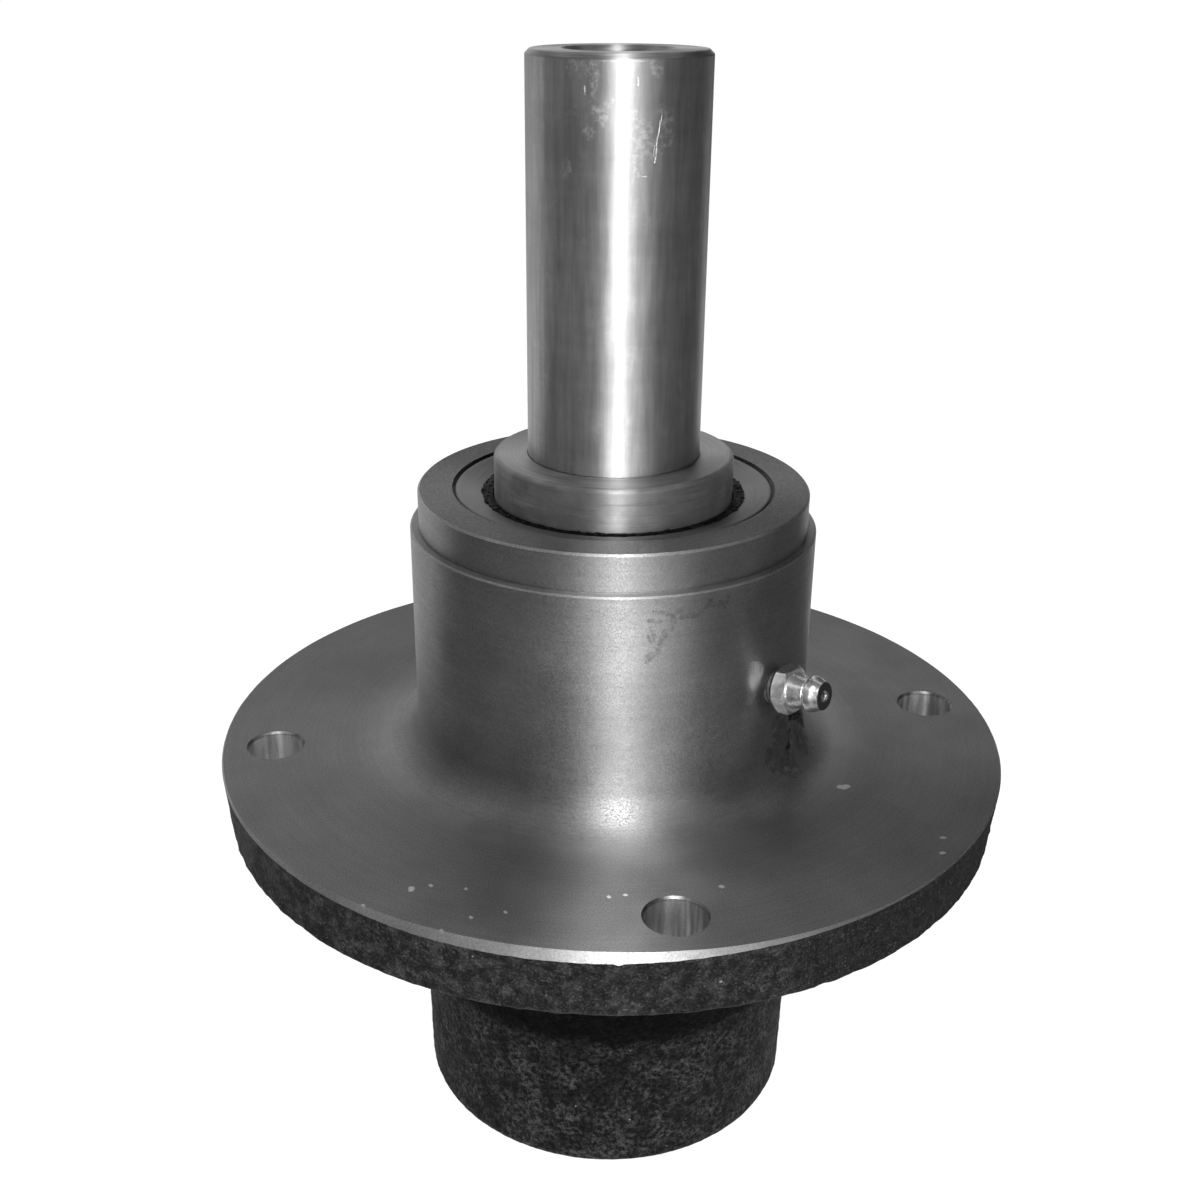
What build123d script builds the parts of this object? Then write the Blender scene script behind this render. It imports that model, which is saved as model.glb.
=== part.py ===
from build123d import *
from math import cos, radians, sin, sqrt, tan
import os

# Mower deck spindle, in millimetres.
# The origin is the centre of the mounting flange's machined top face.
# +Z runs up the spindle axis, towards the end that carries the pulley.

# Shaft
SHAFT_R = 15.875
SHAFT_TOP = 127.0
SHAFT_END_RECESS = 0.8
SHAFT_CHAMFER = 1.0
BOLT_BORE_R = 8.33
BORE_MOUTH_CHAMFER = 1.5
RELIEF_DEPTH = 0.25
RELIEF_INSET = 2.0
RELIEF_ABOVE_COLLAR = 0.15

# Housing casting, above the flange
HOUSING_TOP = 50.8
BARREL_R = 38.1
LEDGE_WIDTH = 1.6
LEDGE_CHAMFER = 0.3
LAND_HEIGHT = 7.0
LAND_CHAMFER = 0.4
BARREL_FILLET = 6.35

# Housing casting, flange
FLANGE_THICKNESS = 12.7
FLANGE_CHAMFER = 1.4
RIM_DRAFT = 1.0
RIM_ROUNDING = 1.2
BOLT_CIRCLE_R = 66.0
BOLT_TO_RIM = 10.2
BOLT_HOLE_R = 5.2
BOLT_HOLE_COUNT = 4
BOLT_HOLE_CHAMFER = 0.4
FIRST_BOLT_ANGLE = 9.7

# Housing casting, below the flange
BOSS_LENGTH = 66.675
BOSS_END_R = 37.9
BOSS_DRAFT = 1.0
BOSS_ROOT_FILLET = 3.0
BOSS_END_ROUNDING = 2.5

# Housing casting, inside
BORE_CHAMFER = 0.5
SHOULDER_STEP = 3.5
SHOULDER_HEIGHT = 3.0
CAVITY_STEP = 1.0

# Taper roller bearings
BEARING_SECTION = 13.6905
BEARING_WIDTH = 15.875
CONE_WIDTH = 16.764
CUP_WIDTH = 11.811
CUP_WALL = 3.515
CUP_ANGLE = 15.3
ROLLER_HALF_TAPER = 1.85
ROLLER_LENGTH = 11.0
ROLLER_DEPTH = 8.9
ROLLER_COUNT = 18
ROLLER_CLEARANCE = 0.1
CONE_LARGE_RIB_HEIGHT = 2.2
CONE_SMALL_RIB_HEIGHT = 0.9
CONE_RIB_GAP = 0.15
RACE_CHAMFER = 0.8
CAGE_THICKNESS = 0.8
CAGE_OFFSET = 1.25
CAGE_END_RING = 1.3
CAGE_TURNED_IN = 1.5
CAGE_POCKET_GAP = 0.15

# Oil seals
SEAL_WIDTH = 6.35
SEAL_RECESS = 0.3
SEAL_TO_BEARING = 1.15
SEAL_WALL = 1.0
SEAL_DISH = 1.2
SEAL_CASE_GAP = 1.775
SEAL_CORNER = 0.5
LIP_CLEARANCE = 0.1
LIP_THICKNESS = 1.0
LIP_HEEL = 1.2
DUST_LIP_THICKNESS = 0.6
GARTER_WIRE_R = 0.7
GARTER_CLEARANCE = 0.05

# Collars and inner spacer
COLLAR_WALL = 6.35
COLLAR_PROJECTION = 6.35
COLLAR_ROUNDING = 1.3
COLLAR_BORE_CHAMFER = 0.5
SPACER_WALL = 3.175
SLIP_FIT = 0.02

# Grease fitting
FITTING_AZIMUTH = -39.0
FITTING_TILT = 8.0
FITTING_HEIGHT = 20.9
FITTING_THREAD_R = 3.175
FITTING_THREAD_DEPTH = 6.0
THREAD_FIT = 0.05
FITTING_STAND_OFF = 1.7
HEX_ACROSS_FLATS = 7.9375
HEX_HEIGHT = 2.8
HEX_CHAMFER = 0.5
WAIST_R = 2.9
WAIST_HEIGHT = 2.7
NECK_R = 2.5
NECK_HEIGHT = 0.4
HEAD_R = 3.3
HEAD_HEIGHT = 1.8
NOSE_R = 2.0
NOSE_HEIGHT = 1.1
FITTING_BORE_R = 1.35
FITTING_MOUTH_R = 1.0
FITTING_OUTLET_R = 0.8
FITTING_END_WALL = 0.8
MOUTH_LIP = 0.7
BALL_R = 1.19
BALL_SEAT_GAP = 0.03
SPRING_WIRE_R = 0.16
SPRING_TURNS = 7
SPRING_SIDE_GAP = 0.1
SPRING_END_GAP = 0.05

# Radii that follow from the sizes above
LAND_R = BARREL_R - LEDGE_WIDTH
FLANGE_R = BOLT_CIRCLE_R + BOLT_TO_RIM
BOSS_ROOT_R = BOSS_END_R + BOSS_DRAFT
BEARING_R = SHAFT_R + BEARING_SECTION
SHOULDER_R = BEARING_R - SHOULDER_STEP
CAVITY_R = BEARING_R - CAVITY_STEP
COLLAR_R = SHAFT_R + COLLAR_WALL
SPACER_R = SHAFT_R + SPACER_WALL
SEAL_CASE_INNER_R = COLLAR_R + SEAL_CASE_GAP

# Heights that follow from the sizes above
BOSS_BOTTOM = -FLANGE_THICKNESS - BOSS_LENGTH
LEDGE_HEIGHT = HOUSING_TOP - LAND_HEIGHT
SEAL_DEPTH = SEAL_RECESS + SEAL_WIDTH
UPPER_BACK = HOUSING_TOP - SEAL_DEPTH - SEAL_TO_BEARING
LOWER_BACK = BOSS_BOTTOM + SEAL_DEPTH + SEAL_TO_BEARING
SPACER_TOP = UPPER_BACK - CONE_WIDTH
SPACER_BOTTOM = LOWER_BACK + CONE_WIDTH
UPPER_SHOULDER = UPPER_BACK - BEARING_WIDTH
LOWER_SHOULDER = LOWER_BACK + BEARING_WIDTH
UPPER_COLLAR_TOP = HOUSING_TOP + COLLAR_PROJECTION
LOWER_COLLAR_BOTTOM = BOSS_BOTTOM - COLLAR_PROJECTION
SHAFT_BOTTOM = LOWER_COLLAR_BOTTOM + SHAFT_END_RECESS
COLLAR_LENGTH = UPPER_COLLAR_TOP - UPPER_BACK

# The cup, the rollers and the cone share one apex on the axis, as in every taper roller bearing
ROLLER_ANGLE = CUP_ANGLE - ROLLER_HALF_TAPER
CONE_ANGLE = CUP_ANGLE - 2 * ROLLER_HALF_TAPER
CUP_MID_RACE_R = BEARING_R - CUP_WALL
APEX_TO_ROLLER = (CUP_MID_RACE_R - ROLLER_CLEARANCE / cos(radians(CUP_ANGLE))) / tan(radians(CUP_ANGLE))
APEX_DEPTH = ROLLER_DEPTH + APEX_TO_ROLLER
ROLLER_MID_ORBIT_R = APEX_TO_ROLLER * tan(radians(ROLLER_ANGLE))
ROLLER_MID_R = APEX_TO_ROLLER * tan(radians(ROLLER_HALF_TAPER)) / cos(radians(ROLLER_ANGLE))

# The seal's lip and garter spring follow from the collar that they run on
LIP_INNER_R = COLLAR_R + LIP_CLEARANCE
LIP_OUTER_R = LIP_INNER_R + LIP_THICKNESS
GARTER_R = LIP_OUTER_R + GARTER_WIRE_R
GARTER_DEPTH = SEAL_WIDTH - LIP_HEEL - GARTER_WIRE_R


def turned(outline):
    """A solid of revolution about the spindle axis, from its closed half section of (radius, height)."""
    section = make_face(Polyline(*outline, close=True))
    return revolve(Plane.XZ * section, Axis.Z)


def turned_with_rounds(outline, rounds):
    """The same, with each listed corner of the section rounded to its radius first."""
    section = make_face(Polyline(*outline, close=True))
    for corner, radius in rounds:
        nearest = section.vertices().sort_by_distance(corner)[0]
        section = fillet(nearest, radius)
    return revolve(Plane.XZ * section, Axis.Z)


def around_axis(piece, count, first_angle=0):
    """Equally spaced copies of a piece around the spindle axis."""
    return [Rot(0, 0, first_angle + 360 * i / count) * piece for i in range(count)]


def casting_outside():
    """The casting's turned and cast outside, as one solid without its bore."""
    boss_end = (BOSS_END_R, BOSS_BOTTOM)
    boss_root = (BOSS_ROOT_R, -FLANGE_THICKNESS)
    rim_bottom = (FLANGE_R - RIM_DRAFT, -FLANGE_THICKNESS)
    barrel_root = (BARREL_R, 0)
    outline = [
        (0, BOSS_BOTTOM),
        boss_end,
        boss_root,
        rim_bottom,
        (FLANGE_R, -FLANGE_CHAMFER),
        (FLANGE_R - FLANGE_CHAMFER, 0),
        barrel_root,
        (BARREL_R, LEDGE_HEIGHT - LEDGE_CHAMFER),
        (BARREL_R - LEDGE_CHAMFER, LEDGE_HEIGHT),
        (LAND_R, LEDGE_HEIGHT),
        (LAND_R, HOUSING_TOP - LAND_CHAMFER),
        (LAND_R - LAND_CHAMFER, HOUSING_TOP),
        (0, HOUSING_TOP),
    ]
    rounds = [
        (boss_end, BOSS_END_ROUNDING),
        (boss_root, BOSS_ROOT_FILLET),
        (rim_bottom, RIM_ROUNDING),
        (barrel_root, BARREL_FILLET),
    ]
    return turned_with_rounds(outline, rounds)


def casting_bore():
    """Everything bored or cored out of the casting: a bearing seat at each end and the grease cavity between."""
    step = CAVITY_R - SHOULDER_R
    upper_seat = [
        (BEARING_R + BORE_CHAMFER, HOUSING_TOP),
        (BEARING_R, HOUSING_TOP - BORE_CHAMFER),
        (BEARING_R, UPPER_SHOULDER),
        (SHOULDER_R, UPPER_SHOULDER),
        (SHOULDER_R, UPPER_SHOULDER - SHOULDER_HEIGHT),
    ]
    cavity = [
        (CAVITY_R, UPPER_SHOULDER - SHOULDER_HEIGHT - step),
        (CAVITY_R, LOWER_SHOULDER + SHOULDER_HEIGHT + step),
    ]
    lower_seat = [
        (SHOULDER_R, LOWER_SHOULDER + SHOULDER_HEIGHT),
        (SHOULDER_R, LOWER_SHOULDER),
        (BEARING_R, LOWER_SHOULDER),
        (BEARING_R, BOSS_BOTTOM + BORE_CHAMFER),
        (BEARING_R + BORE_CHAMFER, BOSS_BOTTOM),
    ]
    return turned([(0, HOUSING_TOP)] + upper_seat + cavity + lower_seat + [(0, BOSS_BOTTOM)])


def flange_bolt_holes():
    """The four clearance holes through the flange, each with its top edge broken."""
    drill = Cylinder(BOLT_HOLE_R, FLANGE_THICKNESS, align=(Align.CENTER, Align.CENTER, Align.MAX))
    edge_break = Cone(
        BOLT_HOLE_R,
        BOLT_HOLE_R + BOLT_HOLE_CHAMFER,
        BOLT_HOLE_CHAMFER,
        align=(Align.CENTER, Align.CENTER, Align.MAX),
    )
    hole = Pos(BOLT_CIRCLE_R, 0, 0) * (drill + edge_break)
    return around_axis(hole, BOLT_HOLE_COUNT, FIRST_BOLT_ANGLE)


def fitting_place():
    """Where the grease fitting's own frame sits: on the barrel's surface, its +Z pointing out and a little up."""
    on_barrel = Rot(0, 0, FITTING_AZIMUTH) * Pos(BARREL_R, 0, FITTING_HEIGHT)
    return on_barrel * Rot(0, 90 - FITTING_TILT, 0)


def fitting_hole():
    """The tapped hole for the grease fitting, drilled on into the grease cavity."""
    wall = BARREL_R - SHOULDER_R
    run_out = 2 * FITTING_THREAD_R * tan(radians(FITTING_TILT)) + THREAD_FIT
    inwards = (Align.CENTER, Align.CENTER, Align.MAX)
    drill = Cylinder(FITTING_THREAD_R + THREAD_FIT, wall + 2 * run_out, align=inwards)
    return fitting_place() * Pos(0, 0, run_out) * drill


def housing():
    casting = casting_outside() - casting_bore()
    return casting - flange_bolt_holes() - fitting_hole()


def spindle_shaft():
    """Hollow shaft: both ends chamfered outside and in, and relieved between its ground seats."""
    mouth_r = BOLT_BORE_R + BORE_MOUTH_CHAMFER
    shaft = turned(
        [
            (BOLT_BORE_R, SHAFT_BOTTOM + BORE_MOUTH_CHAMFER),
            (mouth_r, SHAFT_BOTTOM),
            (SHAFT_R - SHAFT_CHAMFER, SHAFT_BOTTOM),
            (SHAFT_R, SHAFT_BOTTOM + SHAFT_CHAMFER),
            (SHAFT_R, SHAFT_TOP - SHAFT_CHAMFER),
            (SHAFT_R - SHAFT_CHAMFER, SHAFT_TOP),
            (mouth_r, SHAFT_TOP),
            (BOLT_BORE_R, SHAFT_TOP - BORE_MOUTH_CHAMFER),
        ]
    )
    under_spacer = relief(SPACER_BOTTOM + RELIEF_INSET, SPACER_TOP - RELIEF_INSET)
    under_collar = relief(UPPER_BACK + RELIEF_INSET, UPPER_COLLAR_TOP + RELIEF_ABOVE_COLLAR)
    return shaft - under_spacer - under_collar


def relief(bottom, top):
    """Ring of metal turned off the shaft between two heights, so that what slides on doesn't drag."""
    outside_r = SHAFT_R + RELIEF_DEPTH
    inside_r = SHAFT_R - RELIEF_DEPTH
    return turned([(inside_r, bottom), (outside_r, bottom), (outside_r, top), (inside_r, top)])


def collar():
    """Turned collar with its bearing face at height 0 and its free face up."""
    bore_r = SHAFT_R + SLIP_FIT
    outer_corner = (COLLAR_R, COLLAR_LENGTH)
    outline = [
        (bore_r, 0),
        (COLLAR_R, 0),
        outer_corner,
        (bore_r + COLLAR_BORE_CHAMFER, COLLAR_LENGTH),
        (bore_r, COLLAR_LENGTH - COLLAR_BORE_CHAMFER),
    ]
    return turned_with_rounds(outline, [(outer_corner, COLLAR_ROUNDING)])


def inner_spacer():
    """Plain tube that holds the two inner races apart."""
    bore_r = SHAFT_R + SLIP_FIT
    return turned(
        [(bore_r, SPACER_BOTTOM), (SPACER_R, SPACER_BOTTOM), (SPACER_R, SPACER_TOP), (bore_r, SPACER_TOP)]
    )


def raceway_r(angle, depth, gap=0.0):
    """Radius of a raceway that leaves the apex at an angle, a depth below the bearing's back face."""
    return (APEX_DEPTH - depth) * tan(radians(angle)) + gap / cos(radians(angle))


def bearing_cup():
    """Outer race, with the bearing's back face at height 0 and everything below it."""
    front = BEARING_WIDTH - CUP_WIDTH
    back = BEARING_WIDTH
    return turned(
        [
            (raceway_r(CUP_ANGLE, front, ROLLER_CLEARANCE), -front),
            (BEARING_R - RACE_CHAMFER / 2, -front),
            (BEARING_R, -front - RACE_CHAMFER / 2),
            (BEARING_R, -back + RACE_CHAMFER),
            (BEARING_R - RACE_CHAMFER, -back),
            (raceway_r(CUP_ANGLE, back, ROLLER_CLEARANCE), -back),
        ]
    )


def bearing_cone():
    """Inner race, with a high rib behind the rollers' large ends and a low one before their small ends."""
    large_end = roller_point(ROLLER_LENGTH / 2 + CONE_RIB_GAP, -ROLLER_MID_R)
    small_end = roller_point(-ROLLER_LENGTH / 2 - CONE_RIB_GAP, -ROLLER_MID_R)
    high_rib = roller_point(ROLLER_LENGTH / 2 + CONE_RIB_GAP, CONE_LARGE_RIB_HEIGHT - ROLLER_MID_R)
    low_rib = roller_point(-ROLLER_LENGTH / 2 - CONE_RIB_GAP, CONE_SMALL_RIB_HEIGHT - ROLLER_MID_R)
    race_top = raceway_r(CONE_ANGLE, -large_end[1], -ROLLER_CLEARANCE)
    race_end = raceway_r(CONE_ANGLE, -small_end[1], -ROLLER_CLEARANCE)
    bore_r = SHAFT_R + SLIP_FIT
    return turned(
        [
            (bore_r, -RACE_CHAMFER),
            (bore_r + RACE_CHAMFER, 0),
            (high_rib[0] - RACE_CHAMFER / 2, 0),
            (high_rib[0], -RACE_CHAMFER / 2),
            high_rib,
            (race_top, large_end[1]),
            (race_end, small_end[1]),
            low_rib,
            (low_rib[0], -CONE_WIDTH),
            (bore_r, -CONE_WIDTH),
        ]
    )


def roller_point(along, outwards):
    """A point of the half section given in the roller's own directions, from its middle."""
    tilt = radians(ROLLER_ANGLE)
    radius = ROLLER_MID_ORBIT_R + along * sin(tilt) + outwards * cos(tilt)
    height = -ROLLER_DEPTH + along * cos(tilt) - outwards * sin(tilt)
    return (radius, height)


def roller(growth=0.0):
    """One tapered roller on its orbit, or the larger pocket that it runs in."""
    length = ROLLER_LENGTH + 2 * growth
    swell = length / 2 * tan(radians(ROLLER_HALF_TAPER))
    taper = Cone(ROLLER_MID_R - swell + growth, ROLLER_MID_R + swell + growth, length)
    return Pos(ROLLER_MID_ORBIT_R, 0, -ROLLER_DEPTH) * Rot(0, ROLLER_ANGLE, 0) * taper


def bearing_rollers():
    return around_axis(roller(), ROLLER_COUNT)


def bearing_cage():
    """Pressed cage: a thin cone outside the rollers' centres, turned in at the small end, with a pocket each."""
    near = ROLLER_LENGTH / 2 + 2 * CAGE_POCKET_GAP
    large_end = near + CAGE_END_RING
    small_end = -near - CAGE_THICKNESS
    outside = CAGE_OFFSET + CAGE_THICKNESS
    shell = turned(
        [
            roller_point(large_end, outside),
            roller_point(small_end, outside),
            roller_point(small_end, -CAGE_TURNED_IN),
            roller_point(-near, -CAGE_TURNED_IN),
            roller_point(-near, CAGE_OFFSET),
            roller_point(large_end, CAGE_OFFSET),
        ]
    )
    return shell - around_axis(roller(CAGE_POCKET_GAP), ROLLER_COUNT)


def dished(radius):
    """Height of the seal case's face at a radius: 0 at its outer corner, and lower towards the shaft."""
    corner_r = BEARING_R - SEAL_CORNER
    return -SEAL_DISH * (corner_r - radius) / (corner_r - SEAL_CASE_INNER_R)


def seal_case():
    """Pressed steel case of L section, with the outer corner of its dished face at height 0 and its wall below."""
    wall_r = BEARING_R - SEAL_WALL
    return turned(
        [
            (SEAL_CASE_INNER_R, dished(SEAL_CASE_INNER_R)),
            (BEARING_R - SEAL_CORNER, 0),
            (BEARING_R, -SEAL_CORNER),
            (BEARING_R, -SEAL_WIDTH),
            (wall_r, -SEAL_WIDTH),
            (wall_r, dished(wall_r) - SEAL_WALL),
            (SEAL_CASE_INNER_R, dished(SEAL_CASE_INNER_R) - SEAL_WALL),
        ]
    )


def seal_lip():
    """Rubber bonded under the case: a dust lip, a sealing lip, and a groove behind it for the garter spring."""
    top = dished(SEAL_CASE_INNER_R) - SEAL_WALL
    waist = top - LIP_THICKNESS
    toe = -GARTER_DEPTH
    bond_r = SEAL_CASE_INNER_R + LIP_THICKNESS
    rubber = turned(
        [
            (bond_r, dished(bond_r) - SEAL_WALL),
            (SEAL_CASE_INNER_R, top),
            (SEAL_CASE_INNER_R - DUST_LIP_THICKNESS, top),
            (LIP_INNER_R, top + DUST_LIP_THICKNESS),
            (LIP_INNER_R, top),
            (LIP_INNER_R + DUST_LIP_THICKNESS, waist),
            (LIP_INNER_R + DUST_LIP_THICKNESS, toe + LIP_THICKNESS),
            (LIP_INNER_R, toe),
            (LIP_INNER_R + DUST_LIP_THICKNESS, -SEAL_WIDTH),
            (LIP_OUTER_R + GARTER_WIRE_R, -SEAL_WIDTH),
            (LIP_OUTER_R, toe),
            (LIP_OUTER_R, waist - LIP_THICKNESS),
            (bond_r, waist),
        ]
    )
    return rubber - garter_spring(GARTER_CLEARANCE)


def garter_spring(growth=0.0):
    """Closely coiled spring closed into a ring, or the larger groove that it lies in."""
    return Pos(0, 0, -GARTER_DEPTH) * Torus(GARTER_R, GARTER_WIRE_R + growth)


def fitting_body():
    """Grease fitting along +Z: threaded shank below 0, hexagon, round waist, neck, round head and conical nose."""
    hex_bottom = FITTING_STAND_OFF
    hex_top = hex_bottom + HEX_HEIGHT
    waist_top = hex_top + WAIST_HEIGHT
    neck_top = waist_top + NECK_HEIGHT
    head_top = neck_top + HEAD_HEIGHT
    nose_top = head_top + NOSE_HEIGHT
    spindle = turned(
        [
            (0, -FITTING_THREAD_DEPTH),
            (FITTING_THREAD_R, -FITTING_THREAD_DEPTH),
            (FITTING_THREAD_R, hex_bottom),
            (WAIST_R, hex_bottom),
            (WAIST_R, waist_top),
            (NECK_R, waist_top),
            (NECK_R, neck_top),
            (HEAD_R, neck_top),
            (HEAD_R, head_top),
            (NOSE_R, nose_top),
            (0, nose_top),
        ]
    )
    return spindle + fitting_hexagon(hex_bottom) - fitting_passage(nose_top)


def fitting_hexagon(bottom):
    """Hexagon with one flat facing up and the corners of both its faces turned off at 45 degrees."""
    corner_r = HEX_ACROSS_FLATS / sqrt(3)
    prism = Rot(0, 0, 30) * extrude(RegularPolygon(corner_r, 6), HEX_HEIGHT)
    flat_r = corner_r - HEX_CHAMFER
    barrel = turned(
        [
            (0, 0),
            (flat_r, 0),
            (corner_r, HEX_CHAMFER),
            (corner_r, HEX_HEIGHT - HEX_CHAMFER),
            (flat_r, HEX_HEIGHT),
            (0, HEX_HEIGHT),
        ]
    )
    return Pos(0, 0, bottom) * (prism & barrel)


def fitting_passage(nose_top):
    """Grease passage: a small mouth that the ball closes, a chamber for ball and spring, and a small outlet."""
    chamber_top = nose_top - MOUTH_LIP
    chamber_end = FITTING_END_WALL - FITTING_THREAD_DEPTH
    return turned(
        [
            (0, nose_top),
            (FITTING_MOUTH_R, nose_top),
            (FITTING_MOUTH_R, chamber_top),
            (FITTING_BORE_R, chamber_top),
            (FITTING_BORE_R, chamber_end),
            (FITTING_OUTLET_R, chamber_end),
            (FITTING_OUTLET_R, -FITTING_THREAD_DEPTH),
            (0, -FITTING_THREAD_DEPTH),
        ]
    )


def ball_height():
    """Height of the ball's centre when it closes the mouth, with a hair's gap to its seat."""
    body = FITTING_STAND_OFF + HEX_HEIGHT + WAIST_HEIGHT + NECK_HEIGHT + HEAD_HEIGHT + NOSE_HEIGHT
    chamber_top = body - MOUTH_LIP
    reach = BALL_R + BALL_SEAT_GAP
    return chamber_top - sqrt(reach**2 - FITTING_MOUTH_R**2)


def fitting_ball():
    return Pos(0, 0, ball_height()) * Sphere(BALL_R)


def fitting_spring():
    """Coil spring from the chamber's end to the back of the ball."""
    coil_r = FITTING_BORE_R - SPRING_SIDE_GAP - SPRING_WIRE_R
    bottom = FITTING_END_WALL - FITTING_THREAD_DEPTH + SPRING_WIRE_R + SPRING_END_GAP
    reach = BALL_R + SPRING_WIRE_R + SPRING_END_GAP
    top = ball_height() - sqrt(reach**2 - coil_r**2)
    length = top - bottom
    coil = Helix(pitch=length / SPRING_TURNS, height=length, radius=coil_r)
    wire_end = Plane(origin=coil @ 0, z_dir=coil % 0)
    wire = sweep(wire_end * Circle(SPRING_WIRE_R), path=coil, is_frenet=True)
    return Pos(0, 0, bottom) * wire


def solids_of(shape):
    """The separate solids of one node, whether it came as a list, a compound or one solid."""
    pieces = shape if isinstance(shape, list) else [shape]
    return [solid for piece in pieces for solid in piece.solids()]


def save(node, shape, place=Pos(0, 0, 0)):
    """Write one node's solids, moved to their place in the spindle, as parts/NODE.step."""
    solids = [place * solid for solid in solids_of(shape)]
    model = solids[0] if len(solids) == 1 else Compound(children=solids)
    model.label = node
    export_step(model, f"parts/{node}.step")


def main():
    os.makedirs("parts", exist_ok=True)
    save("housing", housing())
    save("spindle_shaft", spindle_shaft())
    save("inner_spacer", inner_spacer())
    upside_down = Rot(180, 0, 0)
    ends = [
        ("upper", HOUSING_TOP - SEAL_RECESS, UPPER_BACK, Rot(0, 0, 0)),
        ("lower", BOSS_BOTTOM + SEAL_RECESS, LOWER_BACK, upside_down),
    ]
    for end, seal_face, bearing_back, turn in ends:
        seal_place = Pos(0, 0, seal_face) * turn
        bearing_place = Pos(0, 0, bearing_back) * turn
        save(f"{end}_bearing_cup", bearing_cup(), bearing_place)
        save(f"{end}_bearing_cone", bearing_cone(), bearing_place)
        save(f"{end}_bearing_rollers", bearing_rollers(), bearing_place)
        save(f"{end}_bearing_cage", bearing_cage(), bearing_place)
        save(f"{end}_seal_case", seal_case(), seal_place)
        save(f"{end}_seal_lip", seal_lip(), seal_place)
        save(f"{end}_seal_spring", garter_spring(), seal_place)
        save(f"{end}_collar", collar(), bearing_place)
    save("grease_fitting_body", fitting_body(), fitting_place())
    save("grease_fitting_ball", fitting_ball(), fitting_place())
    save("grease_fitting_spring", fitting_spring(), fitting_place())


main()
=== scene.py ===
from math import ceil, cos, hypot, pi, radians, sin

import bmesh
import bpy
import numpy as np
from mathutils import Matrix, Vector, noise


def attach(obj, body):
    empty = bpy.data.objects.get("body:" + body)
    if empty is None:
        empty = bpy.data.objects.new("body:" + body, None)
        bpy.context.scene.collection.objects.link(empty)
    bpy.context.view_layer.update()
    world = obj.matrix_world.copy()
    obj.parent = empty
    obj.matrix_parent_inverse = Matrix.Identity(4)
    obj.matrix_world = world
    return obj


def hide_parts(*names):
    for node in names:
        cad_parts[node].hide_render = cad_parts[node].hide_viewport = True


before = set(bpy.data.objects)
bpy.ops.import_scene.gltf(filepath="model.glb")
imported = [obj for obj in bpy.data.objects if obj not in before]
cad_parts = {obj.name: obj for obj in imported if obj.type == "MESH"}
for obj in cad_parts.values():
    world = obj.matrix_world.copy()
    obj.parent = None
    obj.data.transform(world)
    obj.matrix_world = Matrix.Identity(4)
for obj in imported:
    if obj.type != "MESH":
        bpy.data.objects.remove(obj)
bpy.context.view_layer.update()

MM = 0.001

# -------- sizes in millimetres, as the solids have them
SHAFT_R, SHAFT_TOP, SHAFT_BOTTOM, SHAFT_CHAMFER = 15.875, 127.0, -84.925, 1.0
BOLT_BORE_R, MOUTH_CHAMFER = 8.33, 1.5
RELIEF_DEPTH, RELIEF_LOW, RELIEF_HIGH = 0.25, 45.0, 57.3
HOUSING_TOP, LAND_R, LEDGE, BARREL_R, FILLET = 50.8, 36.5, 43.8, 38.1, 6.35
LAND_CHAMFER, LEDGE_CHAMFER = 0.4, 0.3
FLANGE_R, FLANGE_BOTTOM, FLANGE_CHAMFER, RIM_DRAFT, RIM_ROUND = 76.2, -12.7, 1.4, 1.0, 1.2
BOLT_CIRCLE_R, BOLT_HOLE_R, BOLT_HOLE_CHAMFER, FIRST_BOLT = 66.0, 5.2, 0.4, 9.7
BOSS_BOTTOM, BOSS_ROOT_R, BOSS_END_R, BOSS_ROOT_FILLET, BOSS_END_ROUND = -79.375, 38.9, 37.9, 3.0, 2.5
BEARING_R, BORE_CHAMFER, SHOULDER_R, CAVITY_R, CAVITY_SLOPE = 29.5655, 0.5, 26.0655, 28.5655, 2.5
UPPER_SEAT, UPPER_SHOULDER, LOWER_SHOULDER, LOWER_SEAT = 27.125, 24.125, -52.7, -55.7
COLLAR_R, COLLAR_LENGTH, COLLAR_ROUND = 22.225, 14.15, 0.9
UPPER_BACK, LOWER_BACK = 43.0, -71.575
SEAL_RECESS, SEAL_WIDTH, SEAL_WALL, SEAL_INNER_R, SEAL_DISH, SEAL_CORNER = 0.3, 6.35, 1.0, 24.0, 1.2, 0.5
LIP_INNER_R, LIP_OUTER_R, LIP_TOE = 22.325, 23.325, -4.45
FITTING_AZIMUTH, FITTING_TILT, FITTING_HEIGHT = -39.0, 8.0, 20.9
FITTING_LOW, THREAD_R, THREAD_PITCH = -6.0, 3.175, 0.907
HEX_LOW, HEX_HIGH, HEX_ACROSS = 1.7, 4.5, 7.9375
TAP_R, TAP_DEPTH = 3.225, 18.0
FLOOR_Z = -85.725


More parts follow.
